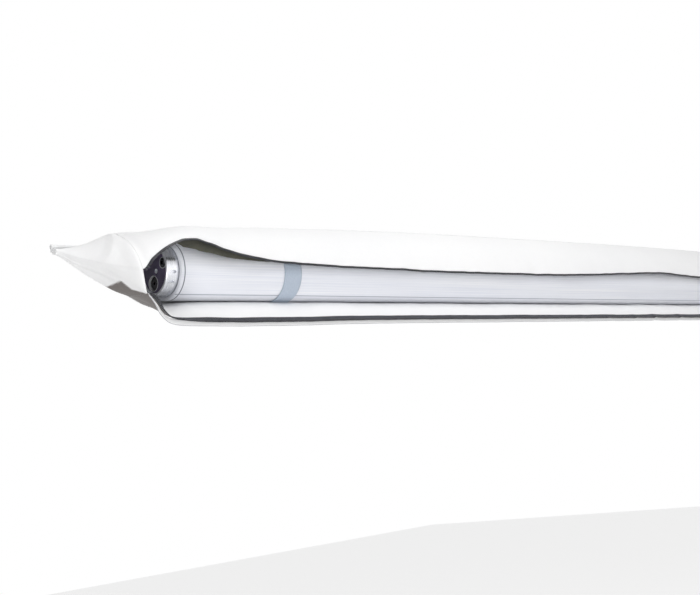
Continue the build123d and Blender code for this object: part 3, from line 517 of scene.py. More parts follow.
class Material:
    """A material with one Principled shader, and helpers that feed its sockets."""

    def __init__(self, name, **shader_values):
        self.material = bpy.data.materials.new(name)
        self.material.use_nodes = True
        self.tree = self.material.node_tree
        self.shader = self.tree.nodes["Principled BSDF"]
        for key, value in shader_values.items():
            self.shader.inputs[key.replace("_", " ")].default_value = value
        self.coordinates = add(self.tree, "ShaderNodeTexCoord")

    def link(self, value, socket):
        """Feeds one of the shader's sockets."""
        self.tree.links.new(value, self.shader.inputs[socket])

    def place(self, cloth=False):
        """The piece's own uv or its object coordinates."""
        return self.coordinates.outputs["UV" if cloth else "Object"]

    def tones(self, first, second, large, small):
        """Feeds the base colour with a mottle of two tones and returns its mask and colour."""
        node = add(self.tree, "ShaderNodeGroup", node_tree=MOTTLE, in_Tone=first,
                   in_Other_tone=second, in_Large=large, in_Small=small,
                   in_Vector=self.place())
        self.link(node.outputs["Color"], "Base Color")
        return node.outputs["Mask"], node.outputs["Color"]

    def weave(self, threads, ribs):
        """The height and the gaps of a weave with so many threads a metre each way."""
        node = add(self.tree, "ShaderNodeGroup", node_tree=WEAVE, in_Threads=threads, in_Ribs=ribs,
                   in_Vector=self.place(True))
        return node.outputs["Height"], node.outputs["Gaps"]

    def bump(self, height, distance, strength=1.0):
        """Bumps the surface by a height, in metres at full height."""
        node = add(self.tree, "ShaderNodeBump", in_Strength=strength, in_Distance=distance,
                   in_Height=height)
        self.link(node.outputs["Normal"], "Normal")


def pvc_sheet():
    """The bag's coated cloth: nearly white, with a fine grain, a faint weave under the coating
    and slow changes of gloss; grey painted shade darkens its down-facing underside where the mesh's shade
    value says so."""
    made = Material("white_coated_cloth", Roughness=0.5, Specular_IOR_Level=0.35)
    mask, white = made.tones(rgb(250, 250, 250), rgb(244, 244, 245), 3.0, 240.0)
    # Painted shade: grey on the faces that point down, as far as the mesh's shade value reaches.
    underside_shade = add(made.tree, "ShaderNodeAttribute", attribute_name="underside_shade").outputs["Fac"]
    facing = split(made.tree, made.coordinates.outputs["Normal"])["Z"]
    downward = ranged(made.tree, facing, -0.15, 0.0, 1.0, 0.0)
    underside_shade = maths(made.tree, "MULTIPLY", underside_shade, downward)
    fleck = noise(made.tree, made.place(), 160.0, 4.0)
    grey = mixed(made.tree, fleck, rgb(104, 99, 97), rgb(126, 120, 117))
    made.link(mixed(made.tree, underside_shade, white, grey), "Base Color")
    height, _ = made.weave(1100.0, 1100.0)
    grain = noise(made.tree, made.place(), 900.0, 3.0)
    both = maths(made.tree, "ADD", maths(made.tree, "MULTIPLY", height, 0.4), grain)
    made.link(ranged(made.tree, mask, 0.0, 1.0, 0.42, 0.56), "Roughness")
    made.bump(both, 0.00008, 0.6)
    return made.material


def awning_cloth():
    """The awning's own cloth: bluish white with fine streaks along the roll, a grey seam that
    follows the cloth's length and a thin dark line near each selvedge."""
    made = Material("awning_cloth", Roughness=0.62, Sheen_Weight=0.1)
    tree = made.tree
    streaks = noise(tree, scaled(tree, made.place(True), 2.2, 700.0, 1.0), 1.0, 5.0, 0.6)
    slow = noise(tree, scaled(tree, made.place(True), 1.2, 24.0, 1.0), 1.0, 3.0)
    both = ranged(tree, weighed(tree, streaks, 0.6, slow, 0.4), 0.36, 0.62)
    colour = mixed(tree, both, rgb(228, 231, 241), rgb(250, 251, 255))
    along = split(tree, made.place(True))["Y"]
    seam = maths(tree, "ABSOLUTE", maths(tree, "SUBTRACT", along, SEAM_PLACE))
    colour = mixed(tree, ranged(tree, seam, 0.0007, 0.0016, 1.0, 0.0), colour, rgb(176, 180, 190))
    side = maths(tree, "ABSOLUTE", split(tree, made.place())["X"])
    edge = maths(tree, "SUBTRACT", side, HALF_CLOTH * MM - 0.007)
    line = ranged(tree, maths(tree, "ABSOLUTE", edge), 0.0006, 0.0014, 1.0, 0.0)
    colour = mixed(tree, line, colour, rgb(120, 124, 134))
    made.link(colour, "Base Color")
    height, _ = made.weave(700.0, 700.0)
    made.bump(maths(tree, "ADD", maths(tree, "MULTIPLY", height, 0.5), streaks), 0.0002, 0.7)
    return made.material


def webbing():
    """Polyester webbing: pale grey-blue ribs across the strap with a soft sheen, darker in the gaps between
    threads as painted shade.
    """
    made = Material("strap_webbing", Roughness=0.6, Sheen_Weight=0.25)
    height, gaps = made.weave(420.0, 620.0)
    fleck = noise(made.tree, made.place(), 300.0, 3.0)
    base = mixed(made.tree, fleck, rgb(182, 196, 214), rgb(206, 217, 231))
    # The gaps between threads are painted darker: painted shade of the weave's recesses.
    gaps = maths(made.tree, "MULTIPLY", gaps, 0.4)
    made.link(mixed(made.tree, gaps, base, rgb(150, 164, 184)), "Base Color")
    made.bump(height, 0.0005)
    return made.material


def dark_cloth(name, tones, threads, depth, **looks):
    """Dark woven cloth: two close tones, paler where it has rubbed, under a fine weave."""
    made = Material(name, **looks)
    made.tones(*tones)
    made.bump(made.weave(*threads)[0], depth)
    return made.material


def zip_teeth():
    """Moulded zip teeth: glossy near-black plastic with worn, slightly paler tops."""
    made = Material("zip_teeth", Roughness=0.34)
    mask, _ = made.tones(rgb(30, 30, 34), rgb(66, 66, 72), 90.0, 1500.0)
    made.link(ranged(made.tree, mask, 0.0, 1.0, 0.28, 0.5), "Roughness")
    made.bump(mask, 0.00005, 0.4)
    return made.material


def keder_cover():
    """The keder's extruded bead: milky plastic with rub marks along it."""
    made = Material("keder_bead", Roughness=0.42)
    rub = noise(made.tree, scaled(made.tree, made.place(), 6.0, 400.0, 400.0), 1.0, 4.0)
    rubbed = ranged(made.tree, rub, 0.35, 0.7)
    made.link(mixed(made.tree, rubbed, rgb(228, 229, 230), rgb(244, 244, 244)), "Base Color")
    made.link(ranged(made.tree, rub, 0.3, 0.7, 0.32, 0.55), "Roughness")
    made.bump(rub, 0.0001, 0.5)
    return made.material


def brushed_metal(name, first, second, roughness, turned=False):
    """Anodised or bright metal: streaks round a turned part or along a drawn tube."""
    made = Material(name, Metallic=1.0, Roughness=roughness)
    stretch = (900.0, 30.0, 30.0) if turned else (12.0, 900.0, 900.0)
    streaks = noise(made.tree, scaled(made.tree, made.place(), *stretch), 1.0, 5.0)
    wear = noise(made.tree, made.place(), 60.0, 4.0)
    shade = ranged(made.tree, weighed(made.tree, streaks, 0.7, wear, 0.3), 0.35, 0.65)
    made.link(mixed(made.tree, shade, first, second), "Base Color")
    made.link(ranged(made.tree, streaks, 0.3, 0.7, roughness - 0.08, roughness + 0.12), "Roughness")
    made.bump(streaks, 0.00003, 0.5)
    return made.material


def moulded_plastic(name, first, second, roughness):
    """Moulded plastic: two close tones, a fine spark-eroded grain and uneven gloss."""
    made = Material(name, Roughness=roughness)
    mask, _ = made.tones(first, second, 25.0, 500.0)
    made.link(ranged(made.tree, mask, 0.0, 1.0, roughness - 0.06, roughness + 0.1), "Roughness")
    made.bump(noise(made.tree, made.place(), 1400.0, 3.0), 0.00008, 0.8)
    return made.material


WHITE_SHEET = pvc_sheet()
CLOTH_WHITE = awning_cloth()
WEBBING = webbing()
ZIP_TAPE = dark_cloth("zip_tape", (rgb(52, 53, 62), rgb(36, 37, 44), 40.0, 800.0), (1600.0, 2200.0),
                      0.00015, Roughness=0.78, Sheen_Weight=0.1)
# The dark olive cloth of the sheets under the humps is painted shade, for the flap's shadow on the roll.
SHADE_SHEET_CLOTH = dark_cloth("painted_shade_cloth", (rgb(56, 56, 53), rgb(84, 84, 72), 30.0, 500.0), (900.0, 900.0),
                    0.0001, Roughness=0.82)
ZIP_TEETH = zip_teeth()
KEDER = keder_cover()
TUBE_METAL = brushed_metal("drawn_alloy", rgb(176, 180, 184), rgb(206, 208, 212), 0.34)
RING_METAL = brushed_metal("turned_ring_alloy", rgb(196, 198, 204), rgb(232, 233, 236), 0.26, turned=True)
BRIGHT_STEEL = brushed_metal("bright_ferrule", rgb(205, 208, 214), rgb(240, 241, 244), 0.16, turned=True)
SLIDER_METAL = brushed_metal("zip_slider_metal", rgb(120, 122, 126), rgb(160, 162, 166), 0.3)
HUB_PLASTIC = moulded_plastic("hub_plastic", rgb(98, 88, 114), rgb(74, 67, 92), 0.42)
BLACK_PLASTIC = moulded_plastic("black_plastic", rgb(26, 26, 28), rgb(38, 38, 41), 0.4)
GREY_PLASTIC = moulded_plastic("grey_plastic", rgb(150, 152, 158), rgb(172, 174, 180), 0.45)
WHITE_PLASTIC = moulded_plastic("white_plastic", rgb(226, 227, 231), rgb(242, 242, 244), 0.38)

# Looks: material, slot and body
BAG_LOOKS = (WHITE_SHEET, "bag_vinyl", "bag")

# Finishes of the nodes that stay as they are
NODE_FINISHES = (
    (("roller_tube", "spine_tube", "leg_outer", "leg_inner", "rafter_outer", "rafter_inner"), TUBE_METAL),
    (("end_ring",), RING_METAL),
    (("rafter_ferrule", "hub_screws"), BRIGHT_STEEL),
    (("zip_slider", "zip_pull"), SLIDER_METAL),
    (("hub_left", "hub_right"), HUB_PLASTIC),
    (("leg_foot", "rafter_tip", "leg_plug", "rafter_plug"), BLACK_PLASTIC),
    (("leg_collar", "rafter_collar", "centre_bulkhead"), GREY_PLASTIC),
    (("hub_bush", "leg_liner"), WHITE_PLASTIC),
)


def finish_nodes():
    """Gives each CAD node that stays its finish, by the start of its name."""
    for starts, material in NODE_FINISHES:
        for name, thing in nodes.items():
            if name.startswith(starts):
                thing.data.materials.clear()
                thing.data.materials.append(material)


# Bag

def bag_top():
    """Top of the bag: an arc from the bead to the crown at each place, with slow ripples along
    the awning that fade towards the seam at the bead."""
    x = np.linspace(-HALF_MOUTH, HALF_MOUTH, 620)
    t = even(22)
    points = across(x, top_path(x, t))
    depth = 1.1 * ripple(x, 3, 420.0, 5)[:, None] * np.sin(math.pi * t) ** 1.5
    make_sheet("top_sheet", pushed(points, depth), SHEET, BAG_LOOKS, "bag_top_panel",
               flat=points)


def flap_points(x, t):
    """The flap's grid: its arcs, run on straight over the zip's tape, with ripples that grow
    towards the free edge."""
    path = flap_path(x, t)
    edge, run = edge_of(flap_path, x)
    over = even(5)[1:] * TAPE_OVER
    path = np.concatenate((path, edge[:, None] + run[:, None] * over[:, None]), axis=1)
    t = np.concatenate((t, np.ones(len(over))))
    points = across(x, path)
    soft = 1.0 - ramp(np.abs(x), *FLAP_CALM)
    wave = 1.3 * ripple(x, 11, 300.0, 5) + 0.7 * ripple(x, 12, 90.0, 3)
    depth = (soft * wave)[:, None] * t**1.6 * 0.8
    return pushed(points, depth)


# Dark sheet of painted shade behind the zip under a hump, for the flap's shadow on the roll: its place from
# the middle, and how far it hangs down
SHADE_SHEET_DROPS = np.array((
    (925.0, 0.5), (1000.0, 10.0), (1052.0, 14.5), (1100.0, 19.0), (1150.0, 23.0), (1180.0, 18.0),
    (1202.0, 0.5),
))
SHADE_SHEET_BEHIND = 3.4  # it hangs this far behind the flap's edge
SHADE_SHEET_TOP = 0.4  # and starts this far above it


def flap_shade_sheet(sewn, side, sign):
    """A dark sheet of painted shade behind the zip where a hump lifts the flap off the roll, for the flap's
    shadow on the roll: it hangs straight down from the flap's edge and runs out to nothing at both ends."""
    place = sign * sewn[:, 2, 0]
    edge = sewn[(place > SHADE_SHEET_DROPS[0, 0]) & (place < SHADE_SHEET_DROPS[-1, 0]), 2]
    drop = np.interp(sign * edge[:, 0], SHADE_SHEET_DROPS[:, 0], SHADE_SHEET_DROPS[:, 1])[:, None]
    share = even(9)
    wave = 0.8 * ripple(edge[:, 0], 71, 60.0, 4)[:, None] * share
    hang = np.stack((np.zeros_like(wave), SHADE_SHEET_BEHIND + wave, SHADE_SHEET_TOP - drop * share), axis=2)
    return make_sheet(f"flap_shade_sheet_{side}", edge[:, None] + hang, TAPE, (SHADE_SHEET_CLOTH, "zip_black", "bag"),
                      None)


def bag_flap():
    """The flap over the roll, thrown up in a hump near each end, with its half of the zip."""
    x = spaced(HALF_MOUTH, 760)
    t = even(30)
    points = flap_points(x, t)
    made = make_sheet("upper_flap", points, SHEET, BAG_LOOKS, "bag_upper_flap")
    sewn = edge_grid(points, len(t) - 1)
    # Dark sheets of painted shade under the humps.
    shade_sheets = [flap_shade_sheet(sewn, side, sign) for side, sign in (("left", -1.0), ("right", 1.0))]
    for piece in (made, *shade_sheets, *zip_half("upper", sewn, HALF_MOUTH, INNER_SIDE_UPPER)):
        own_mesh(piece)


def teeth(name, edge, run, first, last):
    """A row of moulded teeth: one six-sided block for each place along the edge, leaning a little
    along the row, on the far end of the tape. Corners are given as shares of the tooth's half
    pitch, its width and half its height."""
    along = np.gradient(edge, axis=0)
    side = unit(np.cross(along, run))
    corner = np.array([(u, v, w) for u in (-1, 1) for v in (0, 1) for w in (-1, 1)], float)
    slim = 1.0 - 0.25 * corner[:, 1]
    lean = corner[:, 0] * 0.36 * slim + corner[:, 1] * 0.5
    out = first + (last - first) * corner[:, 1]
    high = corner[:, 2] * TEETH_HEIGHT / 2 * slim
    parts = zip((along, run, side), (lean, out, high))
    points = edge[:, None] + sum(way[:, None] * share[:, None] for way, share in parts)
    faces = np.array(((0, 1, 3, 2), (4, 6, 7, 5), (0, 4, 5, 1), (2, 3, 7, 6), (0, 2, 6, 4), (1, 5, 7, 3)))
    quads = (np.arange(len(edge))[:, None, None] * 8 + faces).reshape(-1, 4)
    return mesh_object(name, points.reshape(-1, 3), quads, smooth=False)


def zip_half(which, grid, reach, inward):
    """One half of the zip on a sheet's edge, which is the grid's column before its run over the
    tape. The tape is sewn to the sheet's inner face, inward of it by the given sign, and the teeth
    sit on the tape's free edge."""
    grid = grid[np.abs(grid[:, 0, 0]) <= reach]
    edge = grid[:, 2]
    run = edge - grid[:, 0]
    run[:, 0] = 0.0
    run = unit(run)
    side = np.stack((np.zeros(len(run)), -run[:, 2], run[:, 1]), axis=1) * inward
    run = run * (0.0, 1.0, 0.0) - run[:, 2:] * outward(edge)
    lift = (SHEET + TAPE) / 2 + TAPE_GAP
    share = even(7)
    width = -TAPE_TUCK + (TAPE_TUCK + TAPE_WIDTH + TAPE_FREE) * share
    strip = edge[:, None] + run[:, None] * width[:, None] + side[:, None] * lift
    tape = surface(f"zip_tape_{which}_woven", strip, uv=measured(strip))
    thicken(tape, TAPE)
    finish_piece(tape, ZIP_TAPE, "zip_black", "bag", f"zip_tape_{which}")
    x = np.arange(2.0 - reach, reach - 2.0, TEETH_PITCH)
    columns = np.concatenate((edge + side * lift, run), axis=1)
    place = np.stack([np.interp(x, edge[:, 0], column) for column in columns.T], axis=1)
    reaches = (TAPE_WIDTH - TAPE_FREE, TAPE_WIDTH + TEETH_WIDTH)
    row = teeth(f"zip_teeth_{which}", place[:, :3], place[:, 3:], *reaches)
    finish_piece(row, ZIP_TEETH, "zip_teeth", "bag", f"zip_coil_{which}")
    return tape, row


def edge_grid(points, column):
    """The three columns of a sheet's grid that end at its sewn edge."""
    return points[:, column - 2:column + 1].copy()


def floor_points(x, t):
    """The bottom's grid: its arcs with soft diagonal wrinkles, which lie where the sheet hangs
    slack, and fade at the wall side."""
    points = across(x, floor_path(x, t))
    xs, ts = x[:, None], t[None, :]
    wave = 0.9 * ripple(xs + 70.0 * ts, 21, 260.0, 5)
    left = 2.6 * dome(xs + 120.0 * (1.0 - ts), -1085.0, 30.0)
    ridge = 1.0 - np.abs(np.sin((xs - 150.0 * ts + 12.0 * ripple(xs, 23, 300.0, 3)) / 32.0))
    right = -3.4 * ridge**3 * dome(xs, 200.0, 230.0)
    mirror = 2.0 * dome(xs - 120.0 * (1.0 - ts), 1075.0, 34.0)
    ends = 1.0 - ramp(np.abs(xs), *FLOOR_CALM)
    fade = np.clip(ts * 2.2 - 0.5, 0.0, 1.0) * (1.0 - 0.55 * ts**6)
    return pushed(points, (wave + left + right + mirror) * ends * fade * 0.8)


def bag_bottom():
    """Bottom of the bag with its lower flap and rounded ends."""
    x = spaced(HALF_MOUTH, 900)
    t = even(40)
    points = floor_points(x, t)
    made = make_sheet("bottom_sheet", points, SHEET, BAG_LOOKS, "bag_bottom_panel")
    # Grey painted shade on the underside near each end.
    shade_patch(made, np.repeat(ramp(np.abs(x), *UNDERSIDE_SHADE_EDGE), len(t)))
    sewn = edge_grid(points, len(t) - 1)
    zip_half("lower", sewn, 0.998 * HALF_MOUTH, INNER_SIDE_LOWER)
    bag_hem_strip(sewn)


def outward(points):
    """The unit direction away from a curve along the awning, in its own upright plane: straight
    down where the curve is level."""
    along = np.gradient(points, axis=0)
    along[:, 1] = 0.0
    along = unit(along)
    return np.stack((along[:, 2], np.zeros(len(along)), -along[:, 0]), axis=1)


def bag_hem_strip(sewn):
    """The hem outside the zip: a folded strip that stands away from the lower edge and turns
    round the corners with it, narrow where it starts, with a thin grey binding along its free
    edge and a slight wave."""
    edge = sewn[:, 2]
    run = unit(edge - sewn[:, 0])
    away = outward(edge)
    shift = HEM_SHIFT * np.abs(away[:, :1])
    root = edge + run * HEM_FORWARD + away * shift
    share = even(6)
    length = np.concatenate(((0.0,), np.cumsum(np.linalg.norm(np.diff(root, axis=0), axis=1))))
    wide = ramp(np.minimum(length, length[-1] - length), 0.0, HEM_TAPER)[:, None]
    drop = (HEM_DROP - shift) * share * (HEM_NARROW + (1.0 - HEM_NARROW) * wide)
    grid = root[:, None] + away[:, None] * drop[..., None]
    grid[..., 1] += 0.5 * ripple(edge[:, 0], 31, 180.0, 4)[:, None] * share
    hem = surface("hem_strip", grid, uv=measured(grid))
    thicken(hem, SHEET)
    finish_piece(hem, *BAG_LOOKS, "bag_hem")
    turn = np.linspace(0.0, 2 * math.pi, 9)[:-1]
    ring = np.cos(turn)[:, None] * away[:, None] + np.sin(turn)[:, None] * np.array((0.0, 1.0, 0.0))
    binding = surface("hem_binding", grid[:, -1:] + ring * BINDING, closed=True)
    finish_piece(binding, GREY_PLASTIC, "bag_vinyl", "bag")


def bag_back():
    """Wall side of the bag: a flat sheet behind the keder's tail, pressed against the wall, whose
    foot rises at both ends with the bottom sheet."""
    x = spaced(HALF_MOUTH, 400)
    share = even(14)
    foot = ROLL_Z + eased(FLOOR_SHARES, x / HALF_MOUTH)[0] * ROLL - SHEET / 2
    top = -BEAD - GAP
    z = top + (foot[:, None] - top) * share
    y = TAIL_SHEET / 2 + GAP + SHEET / 2
    sway = -0.3 * (1 + ripple(x, 41, 500.0, 4)[:, None]) * np.sin(math.pi * share)
    grid = across(x, np.stack((y + sway, z), axis=2))
    make_sheet("back_sheet", grid, SHEET, BAG_LOOKS, "bag_back_panel")


def pouch_outline(place, t):
    """The pouch's outline at each place: four bowed sides between its corners, from the top of
    its wall side over the top and the front to the low corner, then straight up the wall."""
    top_out, top_up, front_out, front_up, low_out, low_up, foot = eased(POUCH_SHARES, place) * ROLL
    rear = np.full_like(place, -POUCH_BACK - GAP)
    corners = [
        pairs(rear, top_up - POUCH_BACK),
        pairs(top_out - POUCH_BACK, top_up),
        pairs(front_out - POUCH_BACK, front_up),
        pairs(low_out - POUCH_BACK, low_up),
        pairs(rear, foot),
    ]
    sides = [
        arc(start, bulged(start, end, share * -front_out), end, t)
        for start, end, share in zip(corners, corners[1:], POUCH_BULGES)
    ]
    back = corners[4][:, None] + (corners[0] - corners[4])[:, None] * t[:, None]
    return np.concatenate([side[:, :-1] for side in (*sides, back)], axis=1)


def end_section(t):
    """The bag's own outline at its left end in the pouch's four sides and back: the top, the flap
    with its run over the tape, the cheek beside the opening with the front of the bottom, and
    the bottom's wall side."""
    x = np.array((-HALF_MOUTH,))
    edge, run = edge_of(flap_path, x)
    flap_end = edge + run * TAPE_OVER
    flap = flap_path(x, even(len(t) - 4))[0]
    over = edge + (flap_end - edge) * even(5)[1:, None]
    bottom = floor_path(x, np.linspace(1.0, 0.0, 2 * len(t)))[0]
    corner = floor_path(x, np.array((0.0, 1.0)))[0]
    cheek = flap_end + (corner[1] - flap_end) * even(len(t) // 4)[:, None]
    front = np.concatenate((cheek[:-1], bottom[np.linspace(0, len(t), len(t) - len(cheek) + 1).astype(int)]))
    low = bottom[np.linspace(len(t), 2 * len(t) - 1, len(t)).astype(int)]
    top = top_path(x, t)[0]
    top[0] = (-POUCH_BACK - GAP, top[0, 1])
    back = corner[0] + (top[0] - corner[0]) * t[:, None]
    return np.concatenate([part[:-1] for part in (top, np.concatenate((flap, over)), front, low, back)])


def pouch_wrinkles(v, around):
    """How far a pouch's sheet stands out at shares v of its length: an upright crease from the
    crown, a slanting one to the tip, a shallow dent between them and a seam. Around counts the
    sides: top from 0, flap from 1, front from 2, low side from 3 and wall side from 4."""
    upright = -2.2 * np.abs(v - 0.10 - 0.34 * (around - 1.0)) / 0.12
    upright = np.maximum(upright + 2.2, 0.0) * ramp(around, 0.5, 0.9) * (1.0 - ramp(around, 1.9, 2.1))
    slanting = 1.8 * np.maximum(1.0 - np.abs(around - 2.35 - 0.35 * v) / 0.14, 0.0) * ramp(v, 0.05, 0.3)
    dent = 1.6 * dome(around, 2.62, 0.16) * dome(v, 0.55, 0.2)
    seam = -0.9 * dome(around, 2.02, 0.03) * (1.0 - ramp(v, 0.30, 0.36))
    depth = (upright + slanting - dent + seam) * (1.0 - ramp(v, 0.7, 1.0))
    depth *= np.sin(math.pi * np.clip(v / 0.2, 0.0, 0.5))
    return depth * (around < 4.0)


def pouch_underside_shade(v, around):
    """How much grey painted shade a pouch's underside gets: on the low side, below a border that falls
    towards the tip, and as far as a line that slants over it."""
    reach = 0.24 + 0.06 * (around - 2.5)
    border = np.where(v < 0.1, 2.24 + 2.0 * v, 2.44 - 0.7 * (v - 0.1))
    return ramp(around - border, -0.017, 0.017) * ramp(reach - v, -0.009, 0.009) * (around <= 3.9)


def bag_pouch(side, sign):
    """A closed end pouch: the bag's end section that turns into the pouch's outline along its
    length and is drawn in over the tip."""
    place = even(60)
    t = even(31)
    outline = pouch_outline(place, t)
    handover = np.clip(1.0 - place / HANDOVER, 0.0, 1.0) ** 1.4
    outline = outline + handover[:, None, None] * (end_section(t) - outline[0])
    x = sign * (HALF_MOUTH + GAP + place * (POUCH - GAP))
    points = across(x, outline)
    around = np.arange(points.shape[1])[None, :] / (len(t) - 1)
    v = place[:, None]
    moved = pushed(points, -sign * pouch_wrinkles(v, around))
    tip = moved[-1].mean(axis=0)
    cap = [moved[-1] + (tip - moved[-1]) * share for share in (0.35, 0.7, 0.97)]
    moved = np.concatenate((moved, np.stack(cap)), axis=0)
    made = surface(f"pouch_{side}", moved, closed=True, uv=measured(moved))
    if sign > 0:
        made.data.flip_normals()
    thicken(made, SHEET, offset=-1.0)
    finish_piece(made, *BAG_LOOKS, f"bag_end_{side}")
    # Grey painted shade on the pouch's low side.
    low = pouch_underside_shade(v, around)
    shade_patch(made, np.concatenate((low, np.zeros((len(cap), low.shape[1])))))


# Cloth, straps and keder

def leader():
    """The cloth from the keder's tail to the top of the roll, nearly flat, with faint ripples."""
    x = np.linspace(-HALF_CLOTH, HALF_CLOTH, 300)
    t = even(40)[None, :]
    rise = GAP + CLOTH / 2
    start = (-TAIL_SHEET / 2 - GAP - CLOTH / 2, -2 * BEAD)
    y = start[0] + (ROLL_Y - start[0]) * t
    lift = np.clip(t * LEADER_RISE, 0.0, 1.0)
    z = start[1] + (rise - start[1]) * lift * lift * (3 - 2 * lift)
    wave = 0.25 * ripple(x, 51, 220.0, 4)[:, None] * np.sin(math.pi * t)
    grid = across(x, np.stack(np.broadcast_arrays(y, z + wave), axis=2))
    made = make_sheet("leader_cloth", grid, CLOTH, (CLOTH_WHITE, "awning_cloth"), "cloth_leader")
    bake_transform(made)


def wound_cloth():
    """The cloth wound on the tube: one spiral sheet from the tube to the roll's outside, whose
    radius shrinks by the cloth's thickness each turn, a little uneven along the awning."""
    inner, outer = TUBE + GAP + CLOTH / 2, ROLL - CLOTH / 2
    turns = int((outer - inner) / CLOTH)
    x = np.linspace(-HALF_CLOTH, HALF_CLOTH, 34)
    angle = np.linspace(0.0, 2 * math.pi * turns, turns * 72 + 1)
    radius = outer - CLOTH * angle / (2 * math.pi)
    sag = 0.16 * ripple(x, 61, 700.0, 3)[:, None] * np.exp(-angle / 9.0)
    reach = radius - np.abs(sag)
    y = ROLL_Y - reach * np.sin(angle)
    z = ROLL_Z + reach * np.cos(angle)
    grid = across(x, np.stack((y, z), axis=2))
    make_sheet("wound_cloth", grid, CLOTH * WOUND_SHARE, (CLOTH_WHITE, "awning_cloth", "roller"),
               "cloth_roll")


def drawn_in(row):
    """A grid's end row drawn in to its middle, which closes the end of a piece."""
    middle = row.mean(axis=1, keepdims=True)
    return middle + (row - middle) * CAP_SHARE


def strap(side, sign):
    """Webbing round the roll: a flat section with rounded selvedges carried round the roll's axis,
    and a slack tail that leaves it on the wall side."""
    centre = sign * STRAP_PLACE
    across_strap = np.linspace(-1.0, 1.0, 15)
    edge = STRAP_THICK / 2 * (1.0 - SELVEDGE * np.abs(across_strap) ** 10)
    x = centre + across_strap * STRAP_HALF
    bend = np.radians(np.linspace(*STRAP_TURN, 150))
    tail = np.radians(np.linspace(*STRAP_TAIL, 26))
    for name, angle, lift, node in (
        ("strap", bend, np.zeros_like(bend), f"strap_{side}"),
        ("strap_tail", tail, STRAP_THICK + STRAP_LIFT * even(len(tail)) ** 1.5, None),
    ):
        middle = ROLL + GAP + STRAP_THICK / 2 + lift[:, None]
        outer_face, inner_face = middle + edge, middle - edge
        rows = []
        for face, columns in ((outer_face, x), (inner_face[:, ::-1], x[::-1])):
            y = ROLL_Y + face * np.cos(angle)[:, None]
            z = ROLL_Z + face * np.sin(angle)[:, None]
            rows.append(np.stack((np.broadcast_to(columns, y.shape), y, z), axis=2))
        grid = np.concatenate(rows, axis=1)
        grid = np.concatenate((drawn_in(grid[:1]), grid, drawn_in(grid[-1:])))
        piece = surface(f"{name}_{side}_webbing", grid, closed=True, uv=measured(grid))
        finish_piece(piece, WEBBING, "strap_web", "roller", node)


# The tail is cut this much shorter at its ends, over this run; the degrees of the bead on each
# side that it takes up; and the shares of the bead's radius at its mouth and of its core
TAIL_CUT, TAIL_RUN = 11.0, 48.0
TAIL_MEETS = 8.2
BEAD_STEPS = 40
MOUTH_SHARE, CORE_SHARE = 0.62, 0.68


def keder_piece():
    """The keder: a bead on a flat tail. The bead is a tube round a darker core that stops short
    of its ends; the section runs round the bead, down the tail and back. The tail is cut shorter
    towards each end."""
    half = HALF_MOUTH + POUCH
    turn = np.radians(np.linspace(-90.0 + TAIL_MEETS, 270.0 - TAIL_MEETS, BEAD_STEPS))
    bead = np.stack((np.cos(turn), np.sin(turn)), axis=1) * BEAD
    tail = np.array(((-TAIL_SHEET / 2, -TAIL_DROP), (TAIL_SHEET / 2, -TAIL_DROP)))
    outline = np.concatenate((bead, tail))
    mouth = outline.copy()
    mouth[:BEAD_STEPS] = bead * MOUTH_SHARE
    x = np.concatenate((
        np.array((-half + 7.0, -half + 0.25, -half, -half + 0.35)),
        np.linspace(-half + 4.0, -half + 60.0, 8),
        np.linspace(-half + 90.0, half - 90.0, 14),
        np.linspace(half - 60.0, half - 4.0, 8),
        np.array((half - 0.35, half, half - 0.25, half - 7.0)),
    ))
    shapes = [mouth, mouth, 0.5 * (mouth + outline), outline] + [outline] * 30
    shapes += [outline, 0.5 * (mouth + outline), mouth, mouth]
    shapes = np.stack(shapes)
    short = TAIL_CUT * (1.0 - ramp(half - np.abs(x), 0.0, TAIL_RUN))
    shapes[:, BEAD_STEPS:, 1] += short[:, None]
    grid = across(x, shapes)
    made = surface("keder_bead_and_tail", grid, closed=True, uv=measured(grid))
    finish_piece(made, KEDER, "keder_cord", "bag", "rail_keder")
    core_x = np.array((-half + 4.0, -half + 4.0, half - 4.0, half - 4.0))
    core = bead * CORE_SHARE
    shapes = np.stack((core * CAP_SHARE, core, core, core * CAP_SHARE))
    plug = surface("keder_core", across(core_x, shapes), closed=True)
    finish_piece(plug, GREY_PLASTIC, "keder_cord", "bag")


# Stage: floor, light and camera

def seen_plainly(tree):
    """One for a ray from the camera, a mirror or glass, and zero for a ray that carries light."""
    path = tree.nodes.new("ShaderNodeLightPath")
    seen = maths(tree, "MAXIMUM", path.outputs["Is Camera Ray"], path.outputs["Is Glossy Ray"])
    return maths(tree, "MAXIMUM", seen, path.outputs["Is Transmission Ray"])


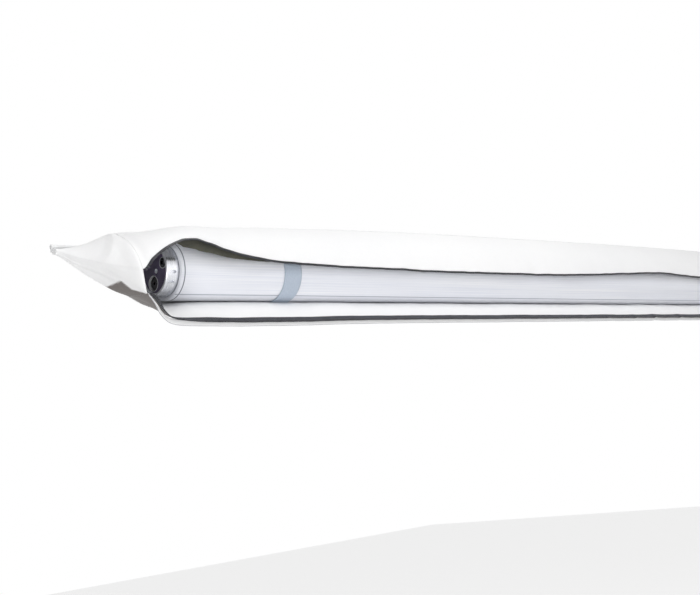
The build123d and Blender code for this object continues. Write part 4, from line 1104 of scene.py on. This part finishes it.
def stage():
    """A pale floor well below the awning, a white surround and soft lamps."""
    floor = bpy.data.meshes.new("floor")
    size, low = FLOOR
    corners = [(-size, -size, low), (size, -size, low), (size, size, low), (-size, size, low)]
    floor.from_pydata(corners, [], [(0, 1, 2, 3)])
    thing = placed("floor", floor)
    pale = Material("pale_floor", Base_Color=(0.9, 0.9, 0.9, 1.0), Roughness=0.9,
                    Emission_Color=(1.0, 1.0, 1.0, 1.0))
    pale.link(maths(pale.tree, "MULTIPLY", seen_plainly(pale.tree), FLOOR_GLOW), "Emission Strength")
    thing.data.materials.append(pale.material)

    world = bpy.data.worlds.new("surround")
    world.use_nodes = True
    bpy.context.scene.world = world
    tree = world.node_tree
    tree.nodes.clear()
    plain = add(tree, "ShaderNodeBackground", in_Color=(1, 1, 1, 1), in_Strength=AMBIENT)
    white = add(tree, "ShaderNodeBackground", in_Color=(1, 1, 1, 1), in_Strength=1.0)
    mix = tree.nodes.new("ShaderNodeMixShader")
    for socket, value in zip(mix.inputs, (seen_plainly(tree), plain.outputs[0], white.outputs[0])):
        tree.links.new(value, socket)
    add(tree, "ShaderNodeOutputWorld", in_Surface=mix.outputs[0])

    for name, place, aim, width, power in LAMPS:
        lamp = bpy.data.lights.new(name, "AREA")
        lamp.shape = "SQUARE"
        lamp.size = width
        lamp.energy = power
        light = placed(name, lamp)
        light.location = place
        light.rotation_euler = (Vector(aim) - Vector(place)).to_track_quat("-Z", "Y").to_euler()


FLOOR = (9.0, -1.25)  # half its width, and its height below the bead, in metres
FLOOR_GLOW = 0.45
AMBIENT = 0.40
# Soft lamps: name, place, the point that each looks at, width in metres and power in watts
LAMPS = (
    ("key", (-0.7, -1.3, 2.0), (-0.7, -0.06, -0.05), 1.4, 31.0),
    ("fill", (-0.5, -2.7, -0.5), (-0.5, -0.06, -0.08), 2.6, 20.0),
    ("end", (-2.9, -1.2, -0.9), (-1.28, -0.06, -0.05), 0.8, 15.0),
)

# The photograph's view: where the camera stands, the line that it looks along, its roll about
# that line in degrees, and its focal length in pixels of the 700 pixel wide frame
CAMERA_PLACE = (-2.2918, -1.6283, -0.3947)
CAMERA_FORWARD = (0.69070, 0.70962, 0.13917)
CAMERA_ROLL = 7.07
FRAME_WIDTH = 700.0
FOCAL = 1194.0
SENSOR = 36.0


def camera():
    """The photograph's camera: it looks along CAMERA_FORWARD and is rolled about that line."""
    forward = Vector(CAMERA_FORWARD).normalized()
    right = forward.cross(Vector((0, 0, 1))).normalized()
    up = right.cross(forward)
    turn = math.radians(CAMERA_ROLL)
    rolled = up * math.cos(turn) + right * math.sin(turn)
    side = forward.cross(rolled)
    place = Matrix((side, rolled, -forward)).transposed().to_4x4()
    place.translation = Vector(CAMERA_PLACE)
    data = bpy.data.cameras.new("camera")
    data.sensor_width = SENSOR
    data.lens = FOCAL / FRAME_WIDTH * SENSOR
    data.clip_start = 0.01
    data.clip_end = 100.0
    thing = placed("camera", data)
    thing.matrix_world = place
    bpy.context.scene.camera = thing


finish_nodes()
bag_back()
bag_top()
bag_flap()
bag_bottom()
for side_name, side_sign in (("left", -1), ("right", 1)):
    bag_pouch(side_name, side_sign)
    strap(side_name, side_sign)
keder_piece()
wound_cloth()
leader()
stage()
camera()
bpy.context.scene.view_settings.view_transform = "Standard"
